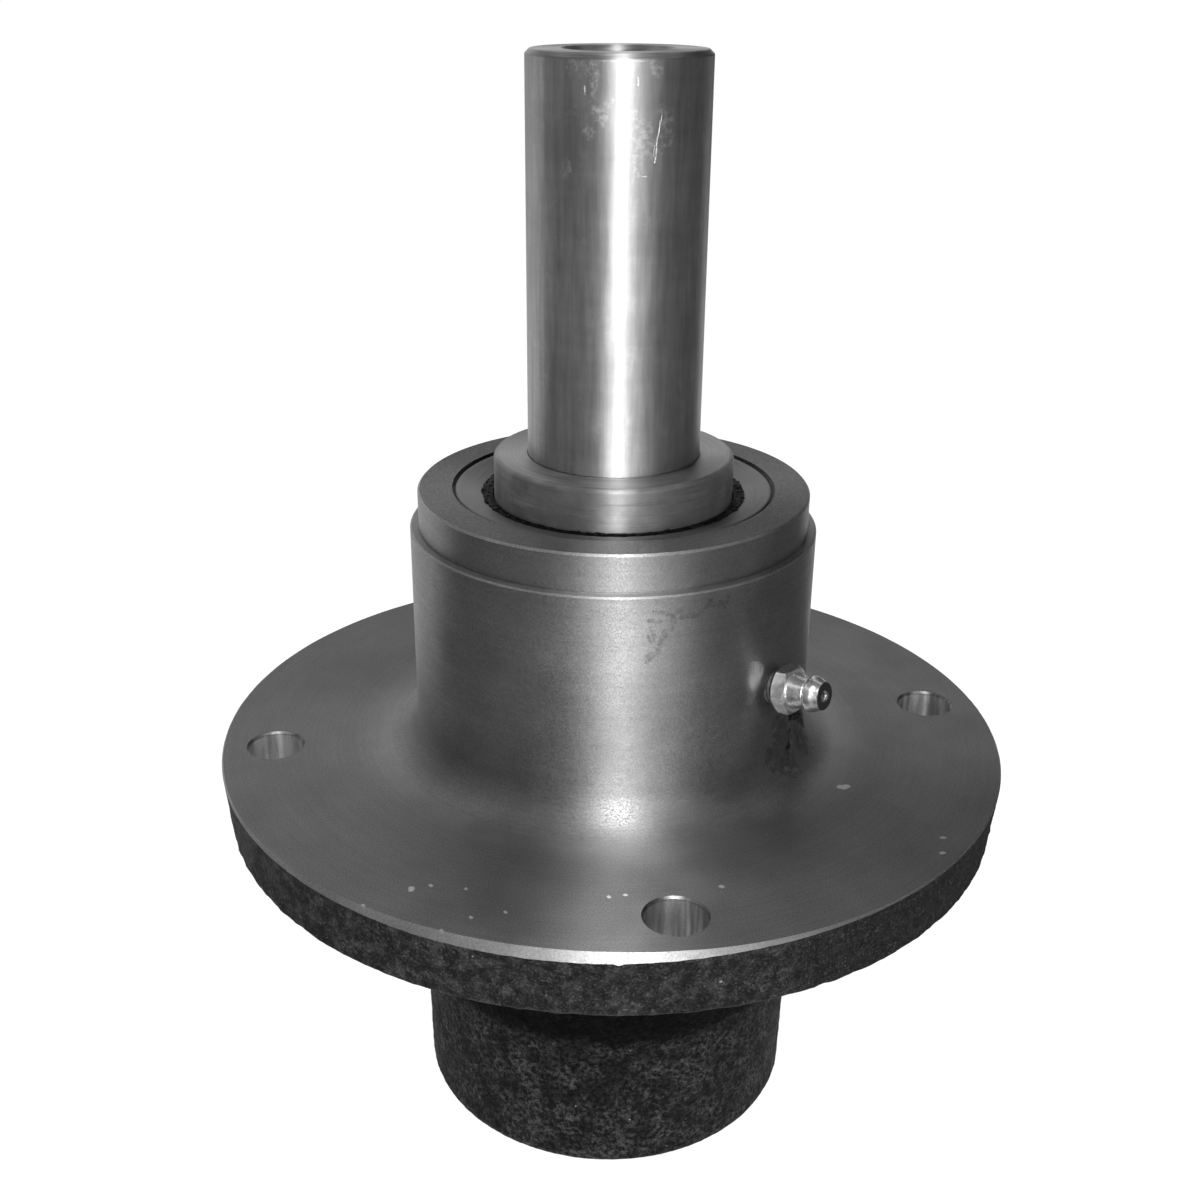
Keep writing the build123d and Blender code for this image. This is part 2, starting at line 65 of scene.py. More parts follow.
# -------- shading nodes
class Shader:
    """One material's node tree, with a short call for each kind of node. Positions are in millimetres."""

    def __init__(self, name):
        self.material = bpy.data.materials.new(name)
        self.material.use_nodes = True
        self.tree = self.material.node_tree
        self.bsdf = self.tree.nodes["Principled BSDF"]
        coordinates = self.add("TexCoord")
        self.point = self.vector("SCALE", coordinates.outputs["Object"], scale=1 / MM)
        flat = self.vector("MULTIPLY", self.point, (1, 1, 0))
        self.radius = self.vector("LENGTH", flat)
        self.outward = self.vector("NORMALIZE", flat)
        split = self.add("SeparateXYZ", {0: self.point})
        self.x, self.y, self.z = split.outputs

    def add(self, kind, inputs=None, **settings):
        node = self.tree.nodes.new("ShaderNode" + kind)
        for key, value in settings.items():
            setattr(node, key, value)
        for key, value in (inputs or {}).items():
            self.put(node.inputs[key], value)
        return node

    def put(self, socket, value):
        if isinstance(value, bpy.types.NodeSocket):
            self.tree.links.new(value, socket)
        else:
            socket.default_value = value

    def set(self, **inputs):
        """Inputs of the Principled shader, with _ for a space in their names."""
        for key, value in inputs.items():
            self.put(self.bsdf.inputs[key.replace("_", " ")], value)

    def vector(self, operation, a, b=None, scale=None):
        inputs = {0: a}
        if b is not None:
            inputs[1] = b
        if scale is not None:
            inputs["Scale"] = scale
        node = self.add("VectorMath", inputs, operation=operation)
        return node.outputs["Value" if operation in ("LENGTH", "DOT_PRODUCT", "DISTANCE") else "Vector"]

    def math(self, operation, a, b, c=None):
        inputs = {0: a, 1: b} if c is None else {0: a, 1: b, 2: c}
        return self.add("Math", inputs, operation=operation).outputs[0]

    def times(self, *values):
        product = values[0]
        for value in values[1:]:
            product = self.math("MULTIPLY", product, value)
        return product

    def scaled(self, value, factor, offset):
        return self.math("MULTIPLY_ADD", value, factor, offset)

    def most(self, *values):
        largest = values[0]
        for value in values[1:]:
            largest = self.math("MAXIMUM", largest, value)
        return largest

    def noise(self, scale, detail=2.0, roughness=0.5, vector=None, w=None):
        inputs = {"Scale": scale, "Detail": detail, "Roughness": roughness}
        inputs["Vector"] = self.point if vector is None else vector
        if w is not None:
            inputs["W"] = w
        node = self.add("TexNoise", inputs, noise_dimensions="3D" if w is None else "4D")
        return node.outputs[0]

    def stretched(self, per_mm, detail, roughness):
        """Noise with its own fineness along x, y and z."""
        return self.noise(1.0, detail, roughness, vector=self.vector("MULTIPLY", self.point, per_mm))

    def rings(self, per_mm, breaks, detail=2.0, seed=0.0):
        """Turning marks about the spindle axis: fine across the cut, long and seldom broken along it."""
        around = self.vector("MULTIPLY", self.outward, (breaks, breaks, 0))
        along = self.vector("MULTIPLY", self.point, (0, 0, per_mm))
        place = self.vector("ADD", around, along)
        across = self.math("MULTIPLY_ADD", self.radius, per_mm, seed)
        return self.noise(1.0, detail, 0.6, vector=place, w=across)

    def band(self, value, low, high, to_low=0.0, to_high=1.0):
        """A smooth step from to_low, where the value is low, to to_high, where it is high."""
        inputs = {"Value": value, "From Min": low, "From Max": high, "To Min": to_low, "To Max": to_high}
        node = self.add("MapRange", inputs, interpolation_type="SMOOTHSTEP", clamp=True)
        return node.outputs["Result"]

    def mix(self, factor, a, b):
        return self.add("Mix", {0: factor, 2: a, 3: b}, data_type="FLOAT").outputs[0]

    def specks(self, cell, size, share, seed=0.0):
        """Small round specks, at most one in each cell, in the given share of the cells."""
        place = self.vector("ADD", self.point, (seed, seed, seed))
        node = self.add("TexVoronoi", {"Vector": place, "Scale": 1 / cell}, feature="F1")
        chosen = self.math("LESS_THAN", self.vector("DOT_PRODUCT", node.outputs["Color"], (1, 0, 0)), share)
        own_size = self.vector("DOT_PRODUCT", node.outputs["Color"], (0, size / cell, 0))
        inside = self.math("LESS_THAN", node.outputs["Distance"], own_size)
        return self.math("MULTIPLY", chosen, inside)

    def bumps(self, *layers):
        """A normal from layers of (height, depth in millimetres), each on top of the one before."""
        normal = None
        for height, depth in layers:
            inputs = {"Height": height, "Distance": depth * MM, "Strength": 1.0}
            if normal is not None:
                inputs["Normal"] = normal
            normal = self.add("Bump", inputs).outputs[0]
        return normal

    def turned_grain(self, amount):
        """The highlight of turned metal: narrow round the piece and drawn out across the cut."""
        tangent = self.add("Tangent", direction_type="RADIAL", axis="Z")
        self.set(Anisotropic=amount, Anisotropic_Rotation=0.25, Tangent=tangent.outputs[0])

    def marks(self, strokes, wobble, seed):
        """A mask that is 1 on short strokes, each from one point to another with a width, and 0 elsewhere.
        Noise pushes the strokes out of line, by up to about half the wobble."""
        inputs = {"Vector": self.vector("ADD", self.point, (seed, 0, 0)), "Scale": 0.9, "Detail": 3.0}
        cloud = self.add("TexNoise", inputs).outputs["Color"]
        shift = self.vector("SUBTRACT", cloud, (0.5, 0.5, 0.5))
        place = self.vector("ADD", self.point, self.vector("SCALE", shift, scale=wobble))
        found = []
        for start, end, width in strokes:
            inputs = {"Point": place, "Start": start, "End": end, "Width": width}
            found.append(self.add("Group", inputs, node_tree=stroke_group()).outputs[0])
        return self.most(*found)


def stroke_group():
    """Node group: 1 where Point is within Width of the line from Start to End, fading to 0 over as much again."""
    group = bpy.data.node_groups.get("stroke")
    if group:
        return group
    group = bpy.data.node_groups.new("stroke", "ShaderNodeTree")
    for name in ("Point", "Start", "End"):
        group.interface.new_socket(name, in_out="INPUT", socket_type="NodeSocketVector")
    group.interface.new_socket("Width", in_out="INPUT", socket_type="NodeSocketFloat")
    group.interface.new_socket("Mask", in_out="OUTPUT", socket_type="NodeSocketFloat")
    nodes, links = group.nodes, group.links
    given, result = nodes.new("NodeGroupInput").outputs, nodes.new("NodeGroupOutput")

    def vector(operation, a, b, output="Vector"):
        node = nodes.new("ShaderNodeVectorMath")
        node.operation = operation
        links.new(a, node.inputs[0])
        links.new(b, node.inputs["Scale" if operation == "SCALE" else 1])
        return node.outputs[output]

    def number(operation, a, b, clamp=False):
        node = nodes.new("ShaderNodeMath")
        node.operation, node.use_clamp = operation, clamp
        links.new(a, node.inputs[0])
        links.new(b, node.inputs[1])
        return node.outputs[0]

    line = vector("SUBTRACT", given["End"], given["Start"])
    offset = vector("SUBTRACT", given["Point"], given["Start"])
    along, length_2 = vector("DOT_PRODUCT", offset, line, "Value"), vector("DOT_PRODUCT", line, line, "Value")
    nearest = vector("SCALE", line, number("DIVIDE", along, length_2, clamp=True))
    fade = nodes.new("ShaderNodeMapRange")
    fade.interpolation_type = "SMOOTHSTEP"
    links.new(vector("DISTANCE", offset, nearest, "Value"), fade.inputs["Value"])
    links.new(given["Width"], fade.inputs["From Min"])
    links.new(number("ADD", given["Width"], given["Width"]), fade.inputs["From Max"])
    fade.inputs["To Min"].default_value, fade.inputs["To Max"].default_value = 1.0, 0.0
    links.new(fade.outputs["Result"], result.inputs["Mask"])
    return group


def on_drum(radius, angle, height):
    """A point in millimetres at an angle round the spindle axis, where -90 faces the photograph's camera."""
    return (radius * cos(radians(angle)), radius * sin(radians(angle)), height)


def strokes_on(radius, lines):
    """Strokes on a round surface, from (angle, height, angle, height, width) each."""
    return [(on_drum(radius, a, b), on_drum(radius, c, d), width) for a, b, c, d, width in lines]


def strokes_between(lines):
    """Strokes from ((radius, angle, height), (radius, angle, height), width) each."""
    return [(on_drum(*start), on_drum(*end), width) for start, end, width in lines]


def spots_on_flange(spots):
    """Small spots on the flange's top face, from (radius, angle, width) each."""
    return [(on_drum(r - size / 2, a, 0), on_drum(r + size / 2, a + 0.2, 0), size) for r, a, size in spots]


# -------- materials
BARREL_STAIN = [
    (-81.0, 32.3, -80.0, 33.0, 0.50), (-79.9, 32.8, -78.2, 33.9, 0.55),
    (-78.2, 33.9, -77.2, 35.7, 0.46), (-77.2, 35.7, -76.0, 37.3, 0.42),
    (-74.4, 37.7, -74.0, 40.8, 0.30), (-75.4, 40.6, -72.5, 40.9, 0.34),
    (-80.4, 39.6, -77.6, 39.2, 0.24), (-79.9, 38.2, -78.8, 35.8, 0.22),
    (-80.6, 36.8, -79.8, 35.4, 0.20), (-71.6, 39.7, -67.8, 39.7, 0.40),
    (-67.8, 39.7, -65.3, 40.9, 0.28), (-65.3, 40.9, -63.6, 41.6, 0.36),
    (-63.6, 41.6, -60.0, 40.6, 0.48), (-60.0, 40.6, -58.6, 41.9, 0.30),
    (-79.2, 41.1, -76.6, 40.8, 0.20),
]
# grease below the grease fitting, its darkest core also a painted shadow of the fitting
GREASE_AND_SHADOW_CORE = [
    ((38.1, -28.0, 12.0), (38.1, -20.5, 9.6), 0.75), ((38.1, -22.5, 10.6), (38.3, -11.5, 5.4), 0.80),
    ((38.1, -20.0, 8.0), (38.3, -23.0, 6.4), 0.24), ((38.1, -27.4, 8.9), (38.1, -28.1, 6.1), 0.28),
    ((38.3, -21.2, 6.6), (38.4, -20.6, 4.4), 0.22), ((38.2, -29.2, 5.5), (38.2, -27.9, 5.2), 0.34),
    ((38.2, -28.8, 5.0), (38.8, -30.3, 3.3), 0.10),
]
SMEAR_CLOUD = [
    ((38.1, -35.0, 12.5), (38.1, -31.5, 6.2), 1.7), ((38.1, -23.0, 9.0), (38.9, -18.0, 3.6), 1.9),
    ((38.2, -38.5, 6.4), (39.6, -30.0, 2.5), 1.5),
]
SMEAR_LIGHT = [
    ((39.4, -33.0, 2.5), (39.6, -31.8, 2.2), 0.32), ((40.2, -30.4, 1.7), (40.5, -29.6, 1.4), 0.36),
    ((38.1, -38.2, 11.6), (38.1, -37.2, 11.4), 0.28), ((38.1, -24.9, 9.9), (38.1, -27.0, 7.9), 0.16),
    ((38.2, -26.2, 5.6), (38.2, -25.4, 5.4), 0.22),
]
FLANGE_SPOTS = [
    (67.3, -118.8, 0.34), (64.8, -116.9, 0.20),
    (63.2, -111.8, 0.18), (70.0, -108.2, 0.20),
    (67.0, -104.2, 0.18), (59.7, -71.6, 0.24),
    (60.2, -89.8, 0.22), (59.6, -87.2, 0.20),
    (49.3, -28.5, 0.50), (49.9, -27.7, 0.36),
    (71.2, -34.6, 0.26), (73.2, -38.2, 0.24),
    (75.2, -121.8, 0.20), (75.0, -110.4, 0.22),
]
SHAFT_SCRATCHES = [
    (-64.3, 117.7, -65.0, 116.4, 0.06), (-65.2, 116.9, -66.6, 114.6, 0.09),
    (-66.4, 115.2, -67.3, 113.4, 0.05), (-67.1, 114.2, -68.3, 110.4, 0.10),
    (-68.6, 113.0, -69.0, 111.6, 0.05), (-109.9, 121.9, -109.8, 120.9, 0.12),
    (-79.7, 123.3, -79.2, 122.3, 0.13), (-77.6, 108.4, -73.0, 108.3, 0.05),
]
SHAFT_RUBBED = [
    (-118.0, 124.9, -108.0, 124.6, 0.9), (-104.6, 125.8, -104.4, 122.4, 0.55),
    (-104.8, 121.4, -104.5, 119.6, 0.35), (-106.0, 119.4, -103.0, 118.4, 0.45),
    (-101.4, 118.6, -99.6, 117.4, 0.8), (-107.6, 115.4, -106.6, 114.9, 0.6),
    (-97.0, 120.0, -96.4, 118.0, 0.5), (-69.5, 125.4, -67.5, 124.2, 0.6),
    (-76.0, 115.4, -69.6, 112.4, 1.3), (-80.0, 118.0, -79.0, 108.0, 0.5),
    (-122.0, 110.0, -120.5, 108.4, 0.6), (-62.0, 118.0, -60.0, 114.0, 0.9),
]


SEEN_RAYS = ("Is Camera Ray", "Is Glossy Ray", "Is Transmission Ray")


def machined_iron(name, tone, rings, outer_tone=None):
    """Turned cast iron, dark and satin, with its turning marks, a blotchy skin, stains and small bright specks,
    and dark grease below the grease fitting whose core is also a painted shadow of the fitting.
    Where an outer tone is given, the tone changes to it across the flange, where the barrel's fillet runs out."""
    s = Shader(name)
    coarse, fine = s.rings(1.4, 2.0, seed=3.0), s.rings(5.0, 6.0, seed=11.0)
    cloud, grain, speckle = s.noise(0.045, 4.0, 0.55), s.noise(5.5, 2.0, 0.6), s.noise(3.2, 3.0, 0.7)
    stain = s.marks(strokes_on(BARREL_R, BARREL_STAIN), wobble=0.9, seed=4.0)
    stain = s.times(stain, s.band(s.noise(1.0, 4.0, 0.7), 0.40, 0.60), 0.36)
    # grease below the fitting, with its core darkened as painted shadow
    grease_and_shadow = s.marks(strokes_between(GREASE_AND_SHADOW_CORE), wobble=1.6, seed=9.0)
    grease_and_shadow = s.times(grease_and_shadow, s.band(s.noise(1.8, 3.0, 0.7), 0.38, 0.48))
    haze = s.marks(strokes_between(SMEAR_CLOUD), wobble=5.5, seed=2.0)
    haze = s.times(haze, s.band(s.noise(0.5, 4.0, 0.7), 0.35, 0.6, 0.1, 0.42))
    dark = s.most(stain, grease_and_shadow, haze)
    specks = s.most(s.specks(9.0, 0.6, 0.25, seed=2.0), s.specks(4.5, 0.24, 0.2, seed=31.0))
    strewn = s.band(s.noise(0.06, 1.0, vector=s.vector("ADD", s.point, (9, 4, 7))), 0.5, 0.62)
    spots = s.marks(spots_on_flange(FLANGE_SPOTS), wobble=0.5, seed=6.0)
    wiped = s.marks(strokes_between(SMEAR_LIGHT), wobble=1.2, seed=1.0)
    bright = s.most(s.times(specks, strewn, 0.7), spots, s.times(wiped, 0.35))
    value = s.times(
        s.scaled(s.band(cloud, 0.3, 0.7), 0.30, 0.85),
        s.scaled(coarse, rings * 2, 1 - rings),
        s.scaled(grain, 0.5, 0.75),
        s.band(speckle, 0.3, 0.7, 0.82, 1.18),
        tone if outer_tone is None else s.band(s.radius, 42.5, 53.0, tone, outer_tone),
    )
    value = s.mix(bright, s.mix(dark, value, tone * 0.12), 0.62)
    rough = s.scaled(s.band(grain, 0.35, 0.65), 0.34, 0.37)
    rough = s.scaled(s.band(cloud, 0.35, 0.65), 0.05, rough)
    s.set(Base_Color=value, Roughness=s.mix(dark, rough, 0.75), Metallic=1.0)
    s.set(Normal=s.bumps((coarse, 0.012), (fine, 0.005), (grain, 0.011)))
    s.turned_grain(0.85)
    return s.material


def drilled_iron():
    """The walls of the bolt holes: brighter than the faces, with the drill's rings and streaks along the hole.
    The bores round the axis and the fitting's tapped hole, closer than 45 mm to the axis, are much darker, as
    painted shade inside them."""
    s = Shader("drilled_iron")
    lines, streaks = s.stretched((0.25, 0.25, 3.0), 2.0, 0.6), s.stretched((0.45, 0.45, 0.04), 3.0, 0.6)
    value = s.times(
        s.scaled(s.noise(3.0, 3.0, 0.6), 0.5, 0.75),
        s.band(streaks, 0.35, 0.65, 0.55, 1.3),
        # painted shade: much darker closer than 45 mm to the axis, in the bores and the fitting's tapped hole
        s.band(s.radius, 45.0, 55.0, 0.05, 0.66),
        s.band(s.z, -0.7, -0.35, 1.0, 0.35),
    )
    s.set(Base_Color=value, Roughness=s.scaled(lines, 0.2, 0.28), Metallic=1.0, Normal=s.bumps((lines, 0.02)))
    return s.material


def cast_skin():
    """The casting's own skin: near black, sandy and pitted, with lighter worn patches and grains on its high
    spots. The boss below the flange, down to a ragged line, and the flange's underside beside it are painted black
    as the flange's shadow. Its right side has fewer of the lighter patches and so is darker."""
    s = Shader("cast_skin")
    lumps, sand = s.noise(0.75, 4.0, 0.6), s.noise(2.4, 4.0, 0.65)
    rim, right = s.band(s.radius, 50.0, 70.0), s.band(s.x, 18.0, 42.0)
    # painted shadow: the boss and the flange's underside near it are painted black down to a ragged line below the
    # flange
    ragged = s.scaled(s.noise(0.22, 6.0, 0.8), 15.0, s.z)
    outside_painted_shadow = s.most(s.band(ragged, -40.0, -43.0), s.band(s.radius, 45.0, 60.0))
    # darker on the right side (positive x), which gets fewer of the lighter patches
    worn = s.times(s.band(s.noise(0.35, 4.0, 0.6), 0.42, 0.62), s.scaled(right, -0.9, 1.0))
    relief = s.math("ADD", s.times(lumps, 0.5), s.times(sand, 0.5))
    value = s.scaled(worn, s.scaled(rim, 0.016, 0.004), s.scaled(rim, 0.008, 0.004))
    value = s.times(value, s.band(relief, 0.35, 0.65, 0.4, 1.6))
    value = s.math("ADD", value, s.times(s.band(sand, 0.54, 0.66), 0.030))
    grit = s.band(s.noise(1.05, 6.0, 0.85), 0.42, 0.66)
    grit = s.times(grit, s.band(s.noise(0.22, 4.0, 0.6), 0.35, 0.65, 0.35, 1.45))
    value = s.mix(rim, s.scaled(grit, 0.060, 0.003), value)
    value = s.mix(s.specks(2.6, 0.30, 0.12, seed=3.0), value, 0.20)
    s.set(Base_Color=s.times(value, s.scaled(outside_painted_shadow, 0.90, 0.10)), Roughness=s.scaled(sand, 0.3, 0.45))
    s.set(Specular_IOR_Level=s.scaled(s.times(outside_painted_shadow, rim), 0.07, 0.05))
    s.set(Normal=s.bumps((s.band(lumps, 0.25, 0.75), 0.25), (s.band(sand, 0.3, 0.7), 0.12)))
    return s.material


def ground_steel():
    """The shaft: ground steel with a fine circular lay, rubbed patches, drawn streaks, scratches and ticks, and a
    painted
    highlight: a lighter, smoother band round its top edge, on the front and back only.
    """
    s = Shader("ground_steel")
    fine, faint = s.rings(9.0, 5.0, seed=5.0), s.rings(0.5, 1.2, seed=21.0)
    drawn = s.stretched((0.9, 0.9, 0.07), 4.0, 0.65)
    cloud, crumbs = s.noise(0.11, 5.0, 0.62), s.noise(1.1, 5.0, 0.75)
    rubbed = s.marks(strokes_on(SHAFT_R, SHAFT_RUBBED), wobble=2.5, seed=7.0)
    rubbed = s.times(rubbed, s.band(crumbs, 0.42, 0.64))
    patches = s.band(s.noise(0.16, 5.0, 0.65, vector=s.vector("ADD", s.point, (40, 7, 3))), 0.50, 0.68)
    patches = s.times(patches, s.band(crumbs, 0.40, 0.70), 0.5)
    scratches = s.marks(strokes_on(SHAFT_R, SHAFT_SCRATCHES), wobble=0.35, seed=2.0)
    scratches = s.times(scratches, s.band(s.noise(1.7, 3.0, 0.7), 0.34, 0.56))
    # painted highlight: a lighter, smoother band just below the top edge's round, only where the shaft faces front
    # and back
    painted_edge_highlight = s.times(
        s.band(s.z, 125.62, 125.78),
        s.band(s.z, 126.05, 125.92),
        s.band(s.noise(0.7, 3.0, 0.7), 0.40, 0.56),
        s.band(s.x, -6.0, -2.0),
        s.band(s.x, 8.0, 4.0),
        0.8,
    )
    ticks = s.most(s.specks(3.4, 0.17, 0.16, seed=5.0), s.specks(6.5, 0.30, 0.2, seed=17.0))
    light = s.most(rubbed, patches, painted_edge_highlight)
    value = s.times(
        s.scaled(s.band(cloud, 0.3, 0.7), 0.20, 0.88),
        s.scaled(faint, 0.2, 0.9),
        s.band(drawn, 0.25, 0.75, 0.84, 1.16),
        0.45,
    )
    value = s.mix(s.times(light, 0.60), value, 0.85)
    value = s.mix(s.most(scratches, s.times(ticks, 0.5)), value, 0.85)
    rough = s.scaled(s.band(cloud, 0.35, 0.65), 0.05, 0.48)
    s.set(Base_Color=value, Roughness=s.scaled(light, 0.16, rough), Metallic=1.0)
    s.set(Normal=s.bumps((fine, 0.0016), (faint, 0.004), (crumbs, 0.004), (s.times(scratches, -1.0), 0.03)))
    s.turned_grain(0.85)
    return s.material


def collar_steel():
    """The collars' turned outside: satin, with broken turning lines, and a dark foot beside each seal: painted
    shade of the seal's recess, with grease.
    """
    s = Shader("collar_steel")
    fine, lay = s.rings(6.0, 5.0, seed=3.0), s.rings(1.3, 2.0, 3.0, seed=15.0)
    lines, dips = s.band(lay, 0.54, 0.70), s.band(lay, 0.46, 0.30)
    height = s.scaled(s.noise(1.5, 4.0, 0.7), 1.2, s.z)
    # painted shade: each collar's foot, down beside its seal's recess, is darkened
    foot = s.most(s.band(height, 52.2, 51.2), s.band(height, -80.4, -79.4))
    value = s.times(
        s.scaled(s.band(s.noise(0.18, 5.0, 0.65), 0.3, 0.7), 0.34, 0.83),
        s.scaled(lines, 0.30, 1.0),
        s.scaled(dips, -0.30, 1.0),
        s.scaled(foot, -0.72, 1.0),
        0.92,
    )
    s.set(Base_Color=value, Roughness=s.scaled(lines, 0.08, 0.50), Metallic=0.86, Specular_IOR_Level=0.3)
    s.set(Normal=s.bumps((lay, 0.010), (fine, 0.004)))
    s.turned_grain(0.90)
    return s.material


def turned_steel(name, tone, lines, depth, rough_base=0.42, grain=0.85):
    """Steel of the end faces, seal cases and inner parts, with turning rings of the given fineness and depth."""
    s = Shader(name)
    coarse, fine = s.rings(lines, 1.6, seed=7.0), s.rings(lines * 3.3, 4.0, seed=13.0)
    lay = s.band(coarse, 0.3, 0.7)
    value = s.times(s.scaled(lay, 0.45, 0.72), s.scaled(s.noise(0.12, 4.0, 0.6), 0.5, 0.75), tone)
    s.set(Base_Color=value, Roughness=s.scaled(lay, 0.12, rough_base), Metallic=1.0)
    s.set(Normal=s.bumps((coarse, depth), (fine, depth * 0.4)))
    s.turned_grain(grain)
    return s.material


def seal_rubber():
    """Black rubber, torn and wet with old grease."""
    s = Shader("seal_rubber")
    dirt = s.noise(0.9, 4.0, 0.7)
    s.set(Base_Color=s.scaled(s.band(dirt, 0.54, 0.74), 0.026, 0.001))
    s.set(Roughness=s.band(dirt, 0.4, 0.7, 0.3, 0.7), Specular_IOR_Level=0.08)
    s.set(Normal=s.bumps((s.noise(2.6, 4.0, 0.7), 0.18)))
    return s.material


def zinc_plate():
    """Bright plating on the grease fitting: hazy and a little uneven. Its nose's end is dark with grease and
    painted shade, and its foot by the barrel is darkened as painted shade.
    """
    s = Shader("zinc_plate")
    haze = s.noise(0.9, 4.0, 0.6)
    place = fitting_place()
    base, ahead = tuple(place.translation / MM), tuple(place.to_3x3().col[2])
    axial = s.vector("DOT_PRODUCT", s.vector("SUBTRACT", s.point, base), ahead)
    axial = s.scaled(haze, 0.5, axial)
    # grease and painted shade on the nose's end, and painted shade at the foot where the fitting meets the barrel
    grease = s.most(s.band(axial, 10.45, 10.65), s.times(s.band(axial, 2.3, 1.6), 0.8))
    value = s.mix(grease, s.scaled(s.band(haze, 0.3, 0.7), 0.16, 0.70), 0.06)
    s.set(Base_Color=value, Roughness=s.mix(grease, s.scaled(haze, 0.16, 0.22), 0.6), Metallic=1.0)
    s.set(Normal=s.bumps((s.noise(0.55, 2.0, 0.5), 0.16), (s.noise(7.0, 2.0, 0.6), 0.006)))
    return s.material


def floor_paper():
    """Pale paper that keeps the object's shadow, and shows white to the camera and in reflections."""
    s = Shader("floor_paper")
    path = s.add("LightPath").outputs
    seen = s.most(*(path[name] for name in SEEN_RAYS))
    tone = s.times(s.scaled(s.noise(0.4, 3.0, 0.6), 0.02, 0.84), s.scaled(seen, -0.8, 1.0))
    s.set(Base_Color=tone, Roughness=0.9, Specular_IOR_Level=0.0)
    s.set(Emission_Color=(1, 1, 1, 1), Emission_Strength=s.times(seen, 0.94))
    return s.material


def plain_card(name, tone):
    s = Shader(name)
    s.set(Base_Color=(tone, tone, tone, 1), Roughness=1.0, Specular_IOR_Level=0.0)
    return s.material


# -------- meshes
HOUSING_SEGMENTS, LIP_SEGMENTS, TURNED_SEGMENTS, SMALL_SEGMENTS, TAP_SEGMENTS = 480, 320, 224, 96, 64
SHARP_ANGLE = radians(28)
# millimetres: how near a point counts as on a face, and the radius of the thin hole along each cutter's axis
NEAR, NEAR_AXIS = 0.01, 0.02


def line(start, end, step):
    """Evenly spaced points from start, up to but without end."""
    across, up = end[0] - start[0], end[1] - start[1]
    count = max(1, ceil(hypot(across, up) / step))
    return [(start[0] + across * i / count, start[1] + up * i / count) for i in range(count)]


def arc(centre, radius, start, end, count):
    """Points of an arc between two angles in degrees, up to but without its end."""
    angles = [radians(start + (end - start) * i / count) for i in range(count)]
    return [(centre[0] + radius * cos(a), centre[1] + radius * sin(a)) for a in angles]


def outline(corners, step):
    """A closed half section through the corners, with points at most a step apart."""
    points = []
    for start, end in zip(corners, corners[1:] + corners[:1]):
        points += line(start, end, step)
    return points


def joined(parts):
    """A half section from (material slot, points) parts, and the slot of each of its points."""
    section = [point for _, points in parts for point in points]
    return section, [slot for slot, points in parts for _ in points]


def lathe(name, section, segments, shift=None, slots=None):
    """A closed turned mesh from its half section in millimetres. shift moves a grid of points, and slots gives
    each row of faces its material."""
    r = np.array([p[0] for p in section])[:, None]
    z = np.array([p[1] for p in section])[:, None]
    angle = 2 * pi * np.arange(segments)[None, :] / segments
    r, z = r + 0 * angle, z + 0 * angle
    if shift:
        r, z = shift(r, z, angle)
    points = np.stack([r * np.cos(angle), r * np.sin(angle), z], axis=-1).reshape(-1, 3) * MM
    rows = len(section)
    i, j = np.meshgrid(np.arange(rows), np.arange(segments), indexing="ij")
    i2, j2 = (i + 1) % rows, (j + 1) % segments
    corners = [i * segments + j, i2 * segments + j, i2 * segments + j2, i * segments + j2]
    mesh = bpy.data.meshes.new(name)
    mesh.from_pydata(points.tolist(), [], np.stack(corners, axis=-1).reshape(-1, 4).tolist())
    if slots is not None:
        mesh.polygons.foreach_set("material_index", np.repeat(np.array(slots, dtype=np.int32), segments))
    return finished(name, mesh)


def added(name, data):
    """A new object in the scene, from a mesh, a lamp or a camera."""
    made = bpy.data.objects.new(name, data)
    bpy.context.scene.collection.objects.link(made)
    return made


def finished(name, mesh):
    """An object from a mesh: outward faces and smooth shading, but sharp edges kept."""
    work = bmesh.new()
    work.from_mesh(mesh)
    bmesh.ops.recalc_face_normals(work, faces=work.faces)
    work.to_mesh(mesh)
    work.free()
    mesh.shade_smooth()
    mesh.set_sharp_from_angle(angle=SHARP_ANGLE)
    return added(name, mesh)


def boolean(piece, other, operation):
    """piece with other cut off, added or kept in common, by the exact solver. other is used up."""
    modifier = piece.modifiers.new("boolean", "BOOLEAN")
    modifier.object, modifier.operation, modifier.solver = other, operation, "EXACT"
    bpy.context.view_layer.update()
    made = bpy.data.meshes.new_from_object(piece.evaluated_get(bpy.context.evaluated_depsgraph_get()))
    piece.modifiers.clear()
    piece.data = made
    bpy.data.objects.remove(other)
    made.shade_smooth()
    made.set_sharp_from_angle(angle=SHARP_ANGLE)
    return piece


def dress(piece, materials, body, node):
    """Give a piece its materials, its body and the node that it stands for."""
    if not piece.data.materials:
        for material in materials:
            piece.data.materials.append(material)
    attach(piece, body)
    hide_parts(node)


def roughness_field(points, scale, octaves, seed):
    """Noise between about -1 and 1 at each point, from its position in millimetres."""
    offset = Vector((seed, seed * 1.7, seed * 0.6))
    return np.array([noise.fractal(Vector(p) * scale + offset, 0.8, 2.0, octaves) for p in points])


# -------- housing
MACHINED, FRESH, CAST, DRILLED, FACED = 0, 1, 2, 3, 4
# the broken edge round the flange's top, in degrees round the axis and in millimetres
EDGE_FRONT, EDGE_TOOTH, EDGE_BLEND, RIM_GAP = 264.0, 271.7, 8.0, 0.03


